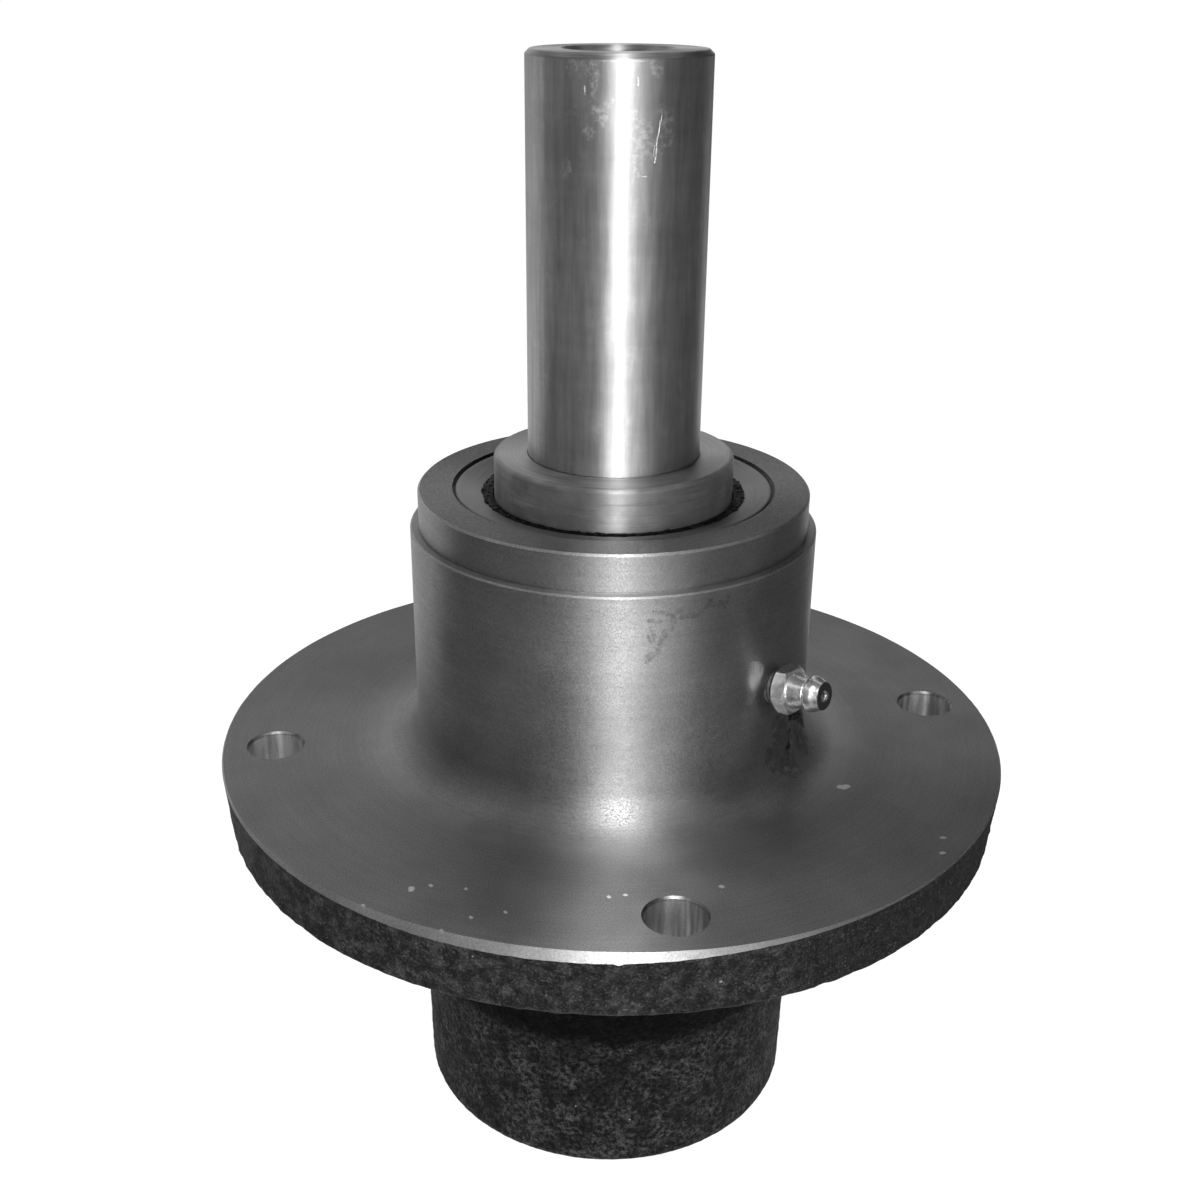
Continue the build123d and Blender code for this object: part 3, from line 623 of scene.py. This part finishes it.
def housing_section():
    """The casting's closed half section, from the top land down the outside and back up through the bore."""
    land_end, land_low = LAND_R - LAND_CHAMFER, HOUSING_TOP - LAND_CHAMFER
    foot, groove_r = LEDGE + 0.35, LAND_R - 0.14
    ledge_end, ledge_low = BARREL_R - LEDGE_CHAMFER, LEDGE - LEDGE_CHAMFER
    fillet_r, flat_end = BARREL_R + FILLET, FLANGE_R - FLANGE_CHAMFER
    crease = (FLANGE_R, -FLANGE_CHAMFER)
    rim_r, rim_low = FLANGE_R - RIM_DRAFT + 0.1, FLANGE_BOTTOM + RIM_ROUND
    root_r, root_z = BOSS_ROOT_R + BOSS_ROOT_FILLET, FLANGE_BOTTOM - BOSS_ROOT_FILLET
    end_r, end_z = BOSS_END_R - BOSS_END_ROUND, BOSS_BOTTOM + BOSS_END_ROUND
    mouth = BEARING_R + BORE_CHAMFER
    return joined([
        (FACED, line((mouth, HOUSING_TOP), (land_end, HOUSING_TOP), 2.5)),
        (FRESH, line((land_end, HOUSING_TOP), (LAND_R, land_low), 0.2)),
        (MACHINED, line((LAND_R, land_low), (LAND_R, foot), 2.5)),
        (MACHINED, [(LAND_R, foot), (groove_r, LEDGE + 0.2)]),
        (MACHINED, line((groove_r, LEDGE), (ledge_end, LEDGE), 0.5)),
        (FRESH, line((ledge_end, LEDGE), (BARREL_R, ledge_low), 0.15)),
        (MACHINED, line((BARREL_R, ledge_low), (BARREL_R, FILLET), 4.0)),
        (MACHINED, arc((fillet_r, FILLET), FILLET, 180, 270, 15)),
        (MACHINED, line((fillet_r, 0), (flat_end, 0), 2.6)),
        (FRESH, line((flat_end, 0), crease, 0.25)),
        (CAST, line(crease, (rim_r, rim_low), 0.42)),
        (CAST, arc((rim_r - RIM_ROUND, rim_low), RIM_ROUND, 0, -90, 7)),
        (CAST, line((rim_r - RIM_ROUND, FLANGE_BOTTOM), (root_r, FLANGE_BOTTOM), 2.0)),
        (CAST, arc((root_r, root_z), BOSS_ROOT_FILLET, 90, 180, 7)),
        (CAST, line((BOSS_ROOT_R, root_z), (BOSS_END_R, end_z), 1.3)),
        (CAST, arc((end_r, end_z), BOSS_END_ROUND, 0, -90, 8)),
        (MACHINED, line((end_r, BOSS_BOTTOM), (mouth, BOSS_BOTTOM), 2.0)),
        (DRILLED, [(mouth, BOSS_BOTTOM), (BEARING_R, BOSS_BOTTOM + BORE_CHAMFER)]),
        (DRILLED, [(BEARING_R, LOWER_SEAT), (SHOULDER_R, LOWER_SEAT), (SHOULDER_R, LOWER_SHOULDER)]),
        (CAST, [(CAVITY_R, LOWER_SHOULDER + CAVITY_SLOPE)]),
        (DRILLED, [(CAVITY_R, UPPER_SHOULDER - CAVITY_SLOPE), (SHOULDER_R, UPPER_SHOULDER)]),
        (DRILLED, [(SHOULDER_R, UPPER_SEAT), (BEARING_R, UPPER_SEAT), (BEARING_R, HOUSING_TOP - BORE_CHAMFER)]),
    ])


def casting_surface(r, z, angle):
    """The housing's points, moved to give it a sandy cast skin and an uneven broken edge round the flange."""
    new_r, new_z = sandy_skin(r, z, angle)
    new_r, new_z = broken_edge(r, z, angle[0], new_r, new_z)
    return np.minimum(new_r, FLANGE_R - RIM_GAP), new_z


def sandy_skin(r, z, angle):
    """The rough-cast faces, pushed in and out by noise that fades towards the machined ones."""
    rough = (z < -FLANGE_CHAMFER + NEAR) & (z >= BOSS_BOTTOM + NEAR) & (r > BEARING_R + 2)
    points = np.stack([(r * np.cos(angle))[rough], (r * np.sin(angle))[rough], z[rough]], axis=-1)
    relief = 0.12 * roughness_field(points, 0.33, 3, 5.0) + 0.09 * roughness_field(points, 0.9, 3, 23.0) - 0.12
    amount = np.zeros_like(r)
    amount[rough] = relief
    amount *= np.clip(np.minimum((-z - FLANGE_CHAMFER) / 0.8, (z - BOSS_BOTTOM) / 1.5), 0, 1)
    # the way out of the surface is square to the line between a point's neighbours in the half section
    dr, dz = np.roll(r, -1, 0) - np.roll(r, 1, 0), np.roll(z, -1, 0) - np.roll(z, 1, 0)
    size = np.hypot(dr, dz)
    return r - dz / size * amount, z + dr / size * amount


def broken_edge(r, z, angle, new_r, new_z):
    """The flange's top edge broken by hand: widest at the front and narrow at the sides, with a ragged lower line
    that has one small tooth. The flat face and the rim beside it follow."""
    from_front = (np.degrees(angle) - EDGE_FRONT + 180) % 360 - 180
    from_tooth = np.degrees(angle) - EDGE_TOOTH
    edge = np.stack([FLANGE_R * np.cos(angle), FLANGE_R * np.sin(angle), 0 * angle], axis=-1)
    spread = np.where(from_front < 0, 38.0, 25.0)
    width = 0.28 + 1.10 * np.exp(-((from_front / spread) ** 2)) + 0.05 * roughness_field(edge, 0.12, 2, 3.0)
    width = np.clip(width, 0.2, FLANGE_CHAMFER)
    ragged = 0.09 * roughness_field(edge, 0.55, 4, 41.0) - 0.42 * np.exp(-((from_tooth / 0.42) ** 2))
    flat_end, blend_start = FLANGE_R - FLANGE_CHAMFER, FLANGE_R - EDGE_BLEND
    face = (z > -NEAR) & (r > blend_start) & (r < flat_end - NEAR)
    follow = np.clip((r - blend_start) / (flat_end - blend_start), 0, 1)
    new_r = np.where(face, r + (FLANGE_CHAMFER - width) * follow, new_r)
    chamfer = (z < NEAR) & (z > -FLANGE_CHAMFER - NEAR) & (r > flat_end - NEAR)
    along = np.clip(-z / FLANGE_CHAMFER, 0, 1)
    new_r = np.where(chamfer, FLANGE_R - width * (1 - along), new_r)
    new_z = np.where(chamfer, -width * along + np.where(along > 0.7, ragged * along, 0), new_z)
    rim = (z < -FLANGE_CHAMFER - NEAR) & (z > FLANGE_BOTTOM) & (r > FLANGE_R - 3)
    follow = np.clip((z - FLANGE_BOTTOM) / (-FLANGE_CHAMFER - FLANGE_BOTTOM), 0, 1)
    new_z = np.where(rim, new_z + (FLANGE_CHAMFER - width) * follow + ragged * follow**8, new_z)
    return new_r, new_z


def bolt_hole_drills():
    """The four drills. Each widens above the flange's face, which breaks the hole's edge."""
    low, high = -16.0, 1.0
    section = [(NEAR_AXIS, low), (BOLT_HOLE_R, low), (BOLT_HOLE_R, -BOLT_HOLE_CHAMFER)]
    section += [(BOLT_HOLE_R + BOLT_HOLE_CHAMFER + high, high), (NEAR_AXIS, high)]
    drills = []
    for number in range(4):
        drill = lathe(f"drill_{number}", section, SMALL_SEGMENTS)
        centre = on_drum(BOLT_CIRCLE_R, FIRST_BOLT + 90 * number, 0)
        drill.data.transform(Matrix.Translation(Vector(centre) * MM))
        drills.append(drill)
    return drills


def fitting_place():
    """The grease fitting's own frame: on the barrel's surface, its Z pointing out and a little up. In metres."""
    turn = Matrix.Rotation(radians(FITTING_AZIMUTH), 4, "Z")
    shift = Matrix.Translation(Vector((BARREL_R, 0, FITTING_HEIGHT)) * MM)
    tip = Matrix.Rotation(radians(90 - FITTING_TILT), 4, "Y")
    return turn @ shift @ tip


def build_housing():
    section, slots = housing_section()
    piece = lathe("housing_casting", section, HOUSING_SEGMENTS, casting_surface, slots)
    materials = [
        machined_iron("machined_iron", 0.31, rings=0.12, outer_tone=0.215),
        machined_iron("fresh_edge", 0.46, rings=0.1),
        cast_skin(),
        drilled_iron(),
        machined_iron("faced_iron", 0.168, rings=0.07),
    ]
    cutters = bolt_hole_drills()
    corners = [(NEAR_AXIS, -TAP_DEPTH), (TAP_R, -TAP_DEPTH), (TAP_R, 2.0), (NEAR_AXIS, 2.0)]
    cutters.append(lathe("tap", corners, TAP_SEGMENTS))
    cutters[-1].data.transform(fitting_place())
    for shape in [piece, *cutters]:
        for material in materials:
            shape.data.materials.append(material)
    for cutter in cutters:
        cutter.data.polygons.foreach_set("material_index", [DRILLED] * len(cutter.data.polygons))
        boolean(piece, cutter, "DIFFERENCE")
    dress(piece, materials, "housing", "housing")


# -------- shaft, collars and seals
DISH_SLOPE = SEAL_DISH / (BEARING_R - SEAL_CORNER - SEAL_INNER_R)


def build_shaft():
    """The hollow shaft. Its end faces and the bolt bore have a darker, coarser finish than the ground outside."""
    ground, cut, bore = 0, 1, 2
    chamfer, soft, slim = 0.75, 0.35, SHAFT_R - RELIEF_DEPTH
    mouth, mouth_low = BOLT_BORE_R + MOUTH_CHAMFER, SHAFT_TOP - MOUTH_CHAMFER
    edge = SHAFT_R - chamfer - 0.6 * soft
    relief = [(SHAFT_R, RELIEF_LOW), (slim, RELIEF_LOW), (slim, RELIEF_HIGH)]
    section, slots = joined([
        (bore, [(BOLT_BORE_R, SHAFT_BOTTOM + MOUTH_CHAMFER)]),
        (cut, [(mouth, SHAFT_BOTTOM), (SHAFT_R - SHAFT_CHAMFER, SHAFT_BOTTOM)]),
        (ground, [(SHAFT_R, SHAFT_BOTTOM + SHAFT_CHAMFER)]),
        (ground, line((SHAFT_R, SHAFT_BOTTOM + 2), (SHAFT_R, RELIEF_LOW), 2.0) + relief),
        (ground, line((SHAFT_R, RELIEF_HIGH), (SHAFT_R, SHAFT_TOP - chamfer - soft), 2.0)),
        (cut, arc((SHAFT_R - soft, SHAFT_TOP - chamfer - 0.6 * soft), soft, 0, 45, 4)),
        (cut, arc((edge, SHAFT_TOP - soft), soft, 45, 90, 4)),
        (cut, line((edge, SHAFT_TOP), (mouth, SHAFT_TOP), 0.7)),
        (bore, line((mouth, SHAFT_TOP), (BOLT_BORE_R, mouth_low), 0.7) + [(BOLT_BORE_R, mouth_low)]),
    ])
    piece = lathe("hollow_shaft", section, TURNED_SEGMENTS, slots=slots)
    materials = [
        ground_steel(),
        turned_steel("cut_steel", 0.36, 3.0, 0.03),
        turned_steel("bored_steel", 0.36, 1.5, 0.03),
    ]
    dress(piece, materials, "spindle", "spindle_shaft")


def collar_section():
    """A collar's half section, its bearing face at 0 and its free face up, with shallow turned grooves outside."""
    bore, edge, grooved, top = SHAFT_R + 0.02, 0.12, 7.6, COLLAR_LENGTH
    round_r, round_z = COLLAR_R - COLLAR_ROUND, top - COLLAR_ROUND
    points = line((bore, 0), (COLLAR_R, 0), 3.0) + line((COLLAR_R, 0), (COLLAR_R, grooved), 2.0)
    for i, (r, z) in enumerate(line((COLLAR_R, grooved), (COLLAR_R, round_z), 0.13)):
        share = 0.5 + 0.5 * noise.noise(Vector((z * 1.1, 4.1, 0.7)))
        points.append((r - 0.02 * share - 0.004 * (i % 2), z))
    points += arc((round_r, round_z), COLLAR_ROUND, 0, 90, 12)
    points += line((round_r, top), (bore + edge, top), 0.3)
    points += line((bore + edge, top), (bore, top - edge), 0.2) + line((bore, top - edge), (bore, 0), 5.0)
    return points


def placed(section, height, down):
    """A half section moved to its height, and turned upside down for the lower end."""
    return [(r, height + (-z if down else z)) for r, z in section]


def dished(radius):
    """Height of the seal case's face at a radius: 0 at its outer corner, and lower towards the shaft."""
    return -DISH_SLOPE * (BEARING_R - SEAL_CORNER - radius)


def case_section():
    """The seal case's half section, with its face's outer corner at 0: dished face, round corner and wall."""
    corner, wall_r, floor = BEARING_R - SEAL_CORNER, BEARING_R - SEAL_WALL, dished(SEAL_INNER_R)
    under, inner_under = dished(wall_r) - SEAL_WALL, floor - SEAL_WALL
    points = line((SEAL_INNER_R + 0.15, floor + 0.03), (corner, 0), 0.7)
    points += arc((corner, -SEAL_CORNER), SEAL_CORNER, 90, 0, 6)
    points += line((BEARING_R, -SEAL_CORNER), (BEARING_R, -SEAL_WIDTH), 2.0)
    points += line((BEARING_R, -SEAL_WIDTH), (wall_r, -SEAL_WIDTH), 1.0)
    points += line((wall_r, -SEAL_WIDTH), (wall_r, under), 3.0)
    points += line((wall_r, under), (SEAL_INNER_R, inner_under), 1.0)
    points += line((SEAL_INNER_R, inner_under), (SEAL_INNER_R, floor - 0.12), 0.3)
    return points


def lip_section():
    """The rubber lip's half section, placed like the case's: bead, fold over the case's edge, leg and toe."""
    inner, floor, foot = SEAL_INNER_R, dished(SEAL_INNER_R), -SEAL_WIDTH + 0.4
    under, back = floor - SEAL_WALL, LIP_INNER_R + 0.6
    corners = [(LIP_INNER_R + 0.02, floor - 0.5), (LIP_INNER_R + 0.2, floor - 0.05), (inner - 0.5, floor + 0.22)]
    corners += [(inner + out, dished(inner + out) + up) for out, up in ((0.3, 0.16), (0.55, 0.03), (0.1, 0.02))]
    corners += [(inner - 0.02, floor - 0.2), (inner - 0.02, under), (25.0, under), (25.0, under - 1.0)]
    corners += [(LIP_OUTER_R, under - 2.0), (LIP_OUTER_R, LIP_TOE), (24.0, foot), (back, foot)]
    corners += [(LIP_INNER_R, LIP_TOE), (back, LIP_TOE + 1.0), (back, under - 1.0)]
    return outline([*corners, (LIP_INNER_R + 0.05, under - 0.1)], 0.2)


def build_lip(end, face, down, rubber):
    """The rubber lip: greasy, with a torn bead that stands up beside the collar and laps over the case's edge; the
    black lap also stands in for the shade in the gap there, as painted shade.
    """
    floor = dished(SEAL_INNER_R)

    def torn_bead(r, z, angle):
        height = (z - face) * (-1 if down else 1)
        points = np.stack([(r * np.cos(angle)).ravel(), (r * np.sin(angle)).ravel(), 0 * z.ravel()], axis=-1)
        torn = roughness_field(points, 0.8, 3, 8.0).reshape(r.shape)
        crumbs = roughness_field(points, 2.2, 3, 51.0).reshape(r.shape)
        bead = height > dished(np.clip(r, SEAL_INNER_R, None)) + 0.06
        lift = np.where(bead, np.clip(0.30 * torn + 0.12 * crumbs, -0.10, 0.45), 0)
        # the bead spreads out over the case's face, where its black also stands in for the shade of the gap
        outward = np.where((r > SEAL_INNER_R + 0.15) & (height > floor), 0.28 * torn, 0)
        lift = lift + outward * DISH_SLOPE
        return r + outward, z + (-lift if down else lift)

    piece = lathe(f"{end}_rubber_lip", placed(lip_section(), face, down), LIP_SEGMENTS, torn_bead)
    dress(piece, [rubber], "housing", f"{end}_seal_lip")


def build_ends():
    """Collar, seal case and lip of the upper end, and the same upside down at the lower end."""
    collar_materials = [collar_steel(), turned_steel("collar_face", 0.33, 2.2, 0.012, rough_base=0.44)]
    case_steel, rubber = turned_steel("case_steel", 0.16, 1.8, 0.006), seal_rubber()
    side, free_face = 0, 1
    for end, back, face, down in (
        ("upper", UPPER_BACK, HOUSING_TOP - SEAL_RECESS, False),
        ("lower", LOWER_BACK, BOSS_BOTTOM + SEAL_RECESS, True),
    ):
        section = collar_section()
        faced = [z > COLLAR_LENGTH - 0.6 and r < COLLAR_R - COLLAR_ROUND + NEAR for r, z in section]
        slots = [free_face if on_face else side for on_face in faced]
        piece = lathe(f"{end}_turned_collar", placed(section, back, down), TURNED_SEGMENTS, slots=slots)
        dress(piece, collar_materials, "spindle", f"{end}_collar")
        piece = lathe(f"{end}_pressed_case", placed(case_section(), face, down), TURNED_SEGMENTS)
        dress(piece, [case_steel], "housing", f"{end}_seal_case")
        build_lip(end, face, down, rubber)


# -------- grease fitting
def fitting_section(shank_low):
    """The fitting's half section along its own Z, with its thread's rows above shank_low."""
    lead_r, lead_end, foot_r, hidden_r = THREAD_R - 0.1, FITTING_LOW + 0.4, 2.95, 3.3
    waist_end, neck_r, head_r, head_z, cone_z, nose_z = 6.95, 2.4, 3.3, 8.05, 8.9, 10.5
    passage_r, chamber_r, seat_r, seat_z = 0.8, 1.35, 1.0, 9.8
    points = [(passage_r, FITTING_LOW), (THREAD_R - 0.4, FITTING_LOW), (lead_r, lead_end)]
    points += line((lead_r, lead_end), (THREAD_R, shank_low), 2.0)
    points += line((THREAD_R, shank_low), (THREAD_R, HEX_LOW), 0.07)
    # inside the hexagon, then the waist and the neck
    points += [(foot_r, HEX_LOW), (foot_r, HEX_LOW + 0.4), (hidden_r, HEX_HIGH - 0.3), (hidden_r, HEX_HIGH)]
    points += line((hidden_r, HEX_HIGH), (2.6, waist_end), 0.35) + arc((2.45, waist_end), 0.15, 0, 60, 3)
    points += [(neck_r, 7.2), (neck_r, 7.4)] + arc((2.75, 7.55), 0.3, 200, 110, 3)
    # head and conical nose, then the mouth with the ball's seat and its chamber
    points += arc((2.95, head_z), 0.35, -75, 0, 5) + line((head_r, head_z), (3.12, cone_z), 0.4)
    points += line((3.12, cone_z), (2.55, 10.1), 0.3) + arc((2.25, 10.2), 0.3, 20, 90, 5)
    points += [(2.2, nose_z), (1.25, nose_z), (seat_r, nose_z - 0.2), (seat_r, seat_z), (chamber_r, seat_z)]
    return points + [(chamber_r, -5.2), (passage_r, -5.2)]


def build_fitting():
    """Grease fitting: thread, hexagon with turned corners, neck, round head and conical nose."""
    shank_low = -1.8

    def thread(r, z, angle):
        turn = (z / THREAD_PITCH - angle / (2 * pi)) % 1.0
        depth = 0.50 * np.clip(1.25 - np.abs(turn - 0.5) * 5.0, 0, 1)
        cut = (z > shank_low + NEAR) & (z < HEX_LOW - 2 * NEAR) & (r > 3.0)
        return np.where(cut, r - depth, r), z

    piece = lathe("fitting_body", fitting_section(shank_low), SMALL_SEGMENTS, thread)
    piece.data.shade_smooth()
    boolean(piece, hexagon_prism(), "UNION")
    piece.data.transform(fitting_place())
    dress(piece, [zinc_plate()], "housing", "grease_fitting_body")


def hexagon_prism():
    """Hexagon with softened corners along its length, and both faces' corners turned off."""
    flat, soft, slope = HEX_ACROSS / 2, 0.3, 0.5
    corner = flat / cos(radians(30))
    reach = corner - soft / cos(radians(30))
    rim = []
    for side in range(6):
        middle = radians(60 * side + 30)
        for step in range(5):
            a = middle + radians(-30 + 15 * step)
            rim.append((reach * cos(middle) + soft * cos(a), reach * sin(middle) + soft * sin(a)))
    work = bmesh.new()
    bottom = [work.verts.new((x * MM, y * MM, HEX_LOW * MM)) for x, y in rim]
    top = [work.verts.new((x * MM, y * MM, HEX_HIGH * MM)) for x, y in rim]
    work.faces.new(list(reversed(bottom)))
    work.faces.new(top)
    for i in range(len(rim)):
        j = (i + 1) % len(rim)
        work.faces.new((bottom[i], bottom[j], top[j], top[i]))
    mesh = bpy.data.meshes.new("hexagon")
    work.to_mesh(mesh)
    work.free()
    prism = finished("hexagon", mesh)
    low, high, outside, inside = HEX_LOW - NEAR, HEX_HIGH + NEAR, corner + 0.1, flat - 0.1
    turned = [(NEAR_AXIS, low), (inside, low), (outside, HEX_LOW + slope)]
    turned += [(outside, HEX_HIGH - slope), (inside, high), (NEAR_AXIS, high)]
    return boolean(prism, lathe("turned_corners", turned, SMALL_SEGMENTS), "INTERSECT")


# -------- pieces that stay as modelled
def dress_inner_nodes():
    """Materials for the solids that stay: races, rollers, cages, spacer, springs and the fitting's ball."""
    race = turned_steel("race_steel", 0.42, 5.0, 0.003, rough_base=0.16, grain=0.5)
    cage = turned_steel("cage_steel", 0.24, 1.5, 0.004, rough_base=0.32, grain=0.3)
    spacer = turned_steel("spacer_steel", 0.26, 1.8, 0.01, rough_base=0.3)
    wire = turned_steel("spring_wire", 0.3, 4.0, 0.01, rough_base=0.3, grain=0.2)
    finishes = dict.fromkeys(("cup", "cone", "rollers", "ball"), race)
    finishes.update({"cage": cage, "spacer": spacer, "spring": wire})
    for name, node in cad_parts.items():
        kind = name.rsplit("_", 1)[-1]
        if kind in finishes and not node.hide_render:
            for holder in node.material_slots:
                holder.material = finishes[kind]


# -------- stage
# the photograph's camera: millimetres, radians and the photograph's pixels
CAMERA_DISTANCE, CAMERA_HEIGHT = 262.84621, 140.30051
CAMERA_PITCH, CAMERA_YAW, CAMERA_ROLL = 0.41727, -0.02679, 0.00393
FOCAL_PIXELS, CENTRE_U, CENTRE_V, PHOTO_SIDE = 1477.5849, 575.0, 615.0, 1200.0
WORLD_LIGHT = 0.42
# metres: where the lamps point, how far the paper reaches, and where the cards stand
LAMP_AIM, FLOOR_REACH, CARD_FOOT, CARD_OUT = (0, 0, 0.02), 12.0, 0.0005, 1.1


def build_camera():
    data = bpy.data.cameras.new("camera")
    data.sensor_width = 36.0
    data.lens = FOCAL_PIXELS / PHOTO_SIDE * data.sensor_width
    data.shift_x = (PHOTO_SIDE / 2 - CENTRE_U) / PHOTO_SIDE
    data.shift_y = (CENTRE_V - PHOTO_SIDE / 2) / PHOTO_SIDE
    data.clip_start, data.clip_end = 0.01, 50.0
    level = Vector((cos(CAMERA_YAW), -sin(CAMERA_YAW), 0))
    ahead = Vector((sin(CAMERA_YAW) * cos(CAMERA_PITCH), cos(CAMERA_YAW) * cos(CAMERA_PITCH), -sin(CAMERA_PITCH)))
    above = level.cross(ahead)
    right = cos(CAMERA_ROLL) * level + sin(CAMERA_ROLL) * above
    up = -sin(CAMERA_ROLL) * level + cos(CAMERA_ROLL) * above
    camera = added("camera", data)
    place = Matrix((right, up, -ahead)).transposed().to_4x4()
    place.translation = Vector((0, -CAMERA_DISTANCE, CAMERA_HEIGHT)) * MM
    camera.matrix_world = place
    bpy.context.scene.camera = camera


def lamp(name, azimuth, elevation, distance, width, height, power):
    """A soft rectangular lamp. Azimuth is to the right of the camera's side, in degrees."""
    data = bpy.data.lights.new(name, "AREA")
    data.shape, data.size, data.size_y, data.energy = "RECTANGLE", width, height, power
    turn, rise = radians(azimuth), radians(elevation)
    away = Vector((sin(turn) * cos(rise), -cos(turn) * cos(rise), sin(rise)))
    holder = added(name, data)
    holder.location = Vector(LAMP_AIM) + away * distance
    holder.rotation_mode = "QUATERNION"
    holder.rotation_quaternion = (-away).to_track_quat("-Z", "Y")


def build_world():
    """White all round for the camera and reflections, and an even soft light for everything else."""
    world = bpy.data.worlds.new("world")
    bpy.context.scene.world = world
    world.use_nodes = True
    tree = world.node_tree
    path = tree.nodes.new("ShaderNodeLightPath").outputs
    seen = path[SEEN_RAYS[0]]
    for name in SEEN_RAYS[1:]:
        either = tree.nodes.new("ShaderNodeMath")
        either.operation = "MAXIMUM"
        tree.links.new(seen, either.inputs[0])
        tree.links.new(path[name], either.inputs[1])
        seen = either.outputs[0]
    strength = tree.nodes.new("ShaderNodeMapRange")
    strength.inputs["To Min"].default_value = WORLD_LIGHT
    tree.links.new(seen, strength.inputs["Value"])
    background = tree.nodes["Background"]
    background.inputs["Color"].default_value = (1, 1, 1, 1)
    tree.links.new(strength.outputs["Result"], background.inputs["Strength"])


def card(name, azimuths, distances, heights, tone):
    """A curved dark card round the object, seen only in reflections, as photographers stand one beside bright
    metal. It runs between two azimuths, and from the first distance and height to the second."""
    count = 24
    points = []
    for i in range(count + 1):
        azimuth = radians(azimuths[0] + (azimuths[1] - azimuths[0]) * i / count)
        for distance, height in zip(distances, heights):
            points.append((distance * sin(azimuth), -distance * cos(azimuth), height))
    faces = [(2 * i, 2 * i + 1, 2 * i + 3, 2 * i + 2) for i in range(count)]
    mesh = bpy.data.meshes.new(name)
    mesh.from_pydata(points, [], faces)
    mesh.materials.append(plain_card(name, tone))
    piece = added(name, mesh)
    piece.visible_camera = piece.visible_diffuse = piece.visible_shadow = piece.visible_transmission = False


def build_stage():
    z, low, out = FLOOR_Z * MM, FLOOR_Z * MM + CARD_FOOT, CARD_OUT
    mesh = bpy.data.meshes.new("floor")
    corners = [(x * FLOOR_REACH, y * FLOOR_REACH, z) for x, y in ((-1, -1), (1, -1), (1, 1), (-1, 1))]
    mesh.from_pydata(corners, [], [(0, 1, 2, 3)])
    mesh.materials.append(floor_paper())
    floor = added("floor", mesh)
    card("front_ground_card", (-106, 140), (0.085, out), (low, low), 0.25)
    card("front_card", (-112, 60), (out, out), (low, 1.1), 0.25)
    card("left_card", (-150, -112), (out, out), (low, 1.1), 0.6)
    card("right_card", (60, 165), (out, out), (low, 1.3), 0.12)
    card("top_card", (0, 360), (0.01, 0.68), (1.1, 1.1), 0.2)
    card("back_card", (165, 210), (out, out), (low, 0.28), 0.5)
    lamp("key", 5.0, 50.0, 0.9, 0.10, 0.28, 3.2)
    lamp("strip", 5.0, 15.0, 0.9, 0.07, 0.36, 3.8)
    lamp("front_soft", 13.0, 12.0, 1.0, 1.05, 0.6, 3.9)


build_camera()
build_world()
build_stage()
build_housing()
build_shaft()
build_ends()
build_fitting()
dress_inner_nodes()
bpy.context.scene.view_settings.view_transform = "Standard"
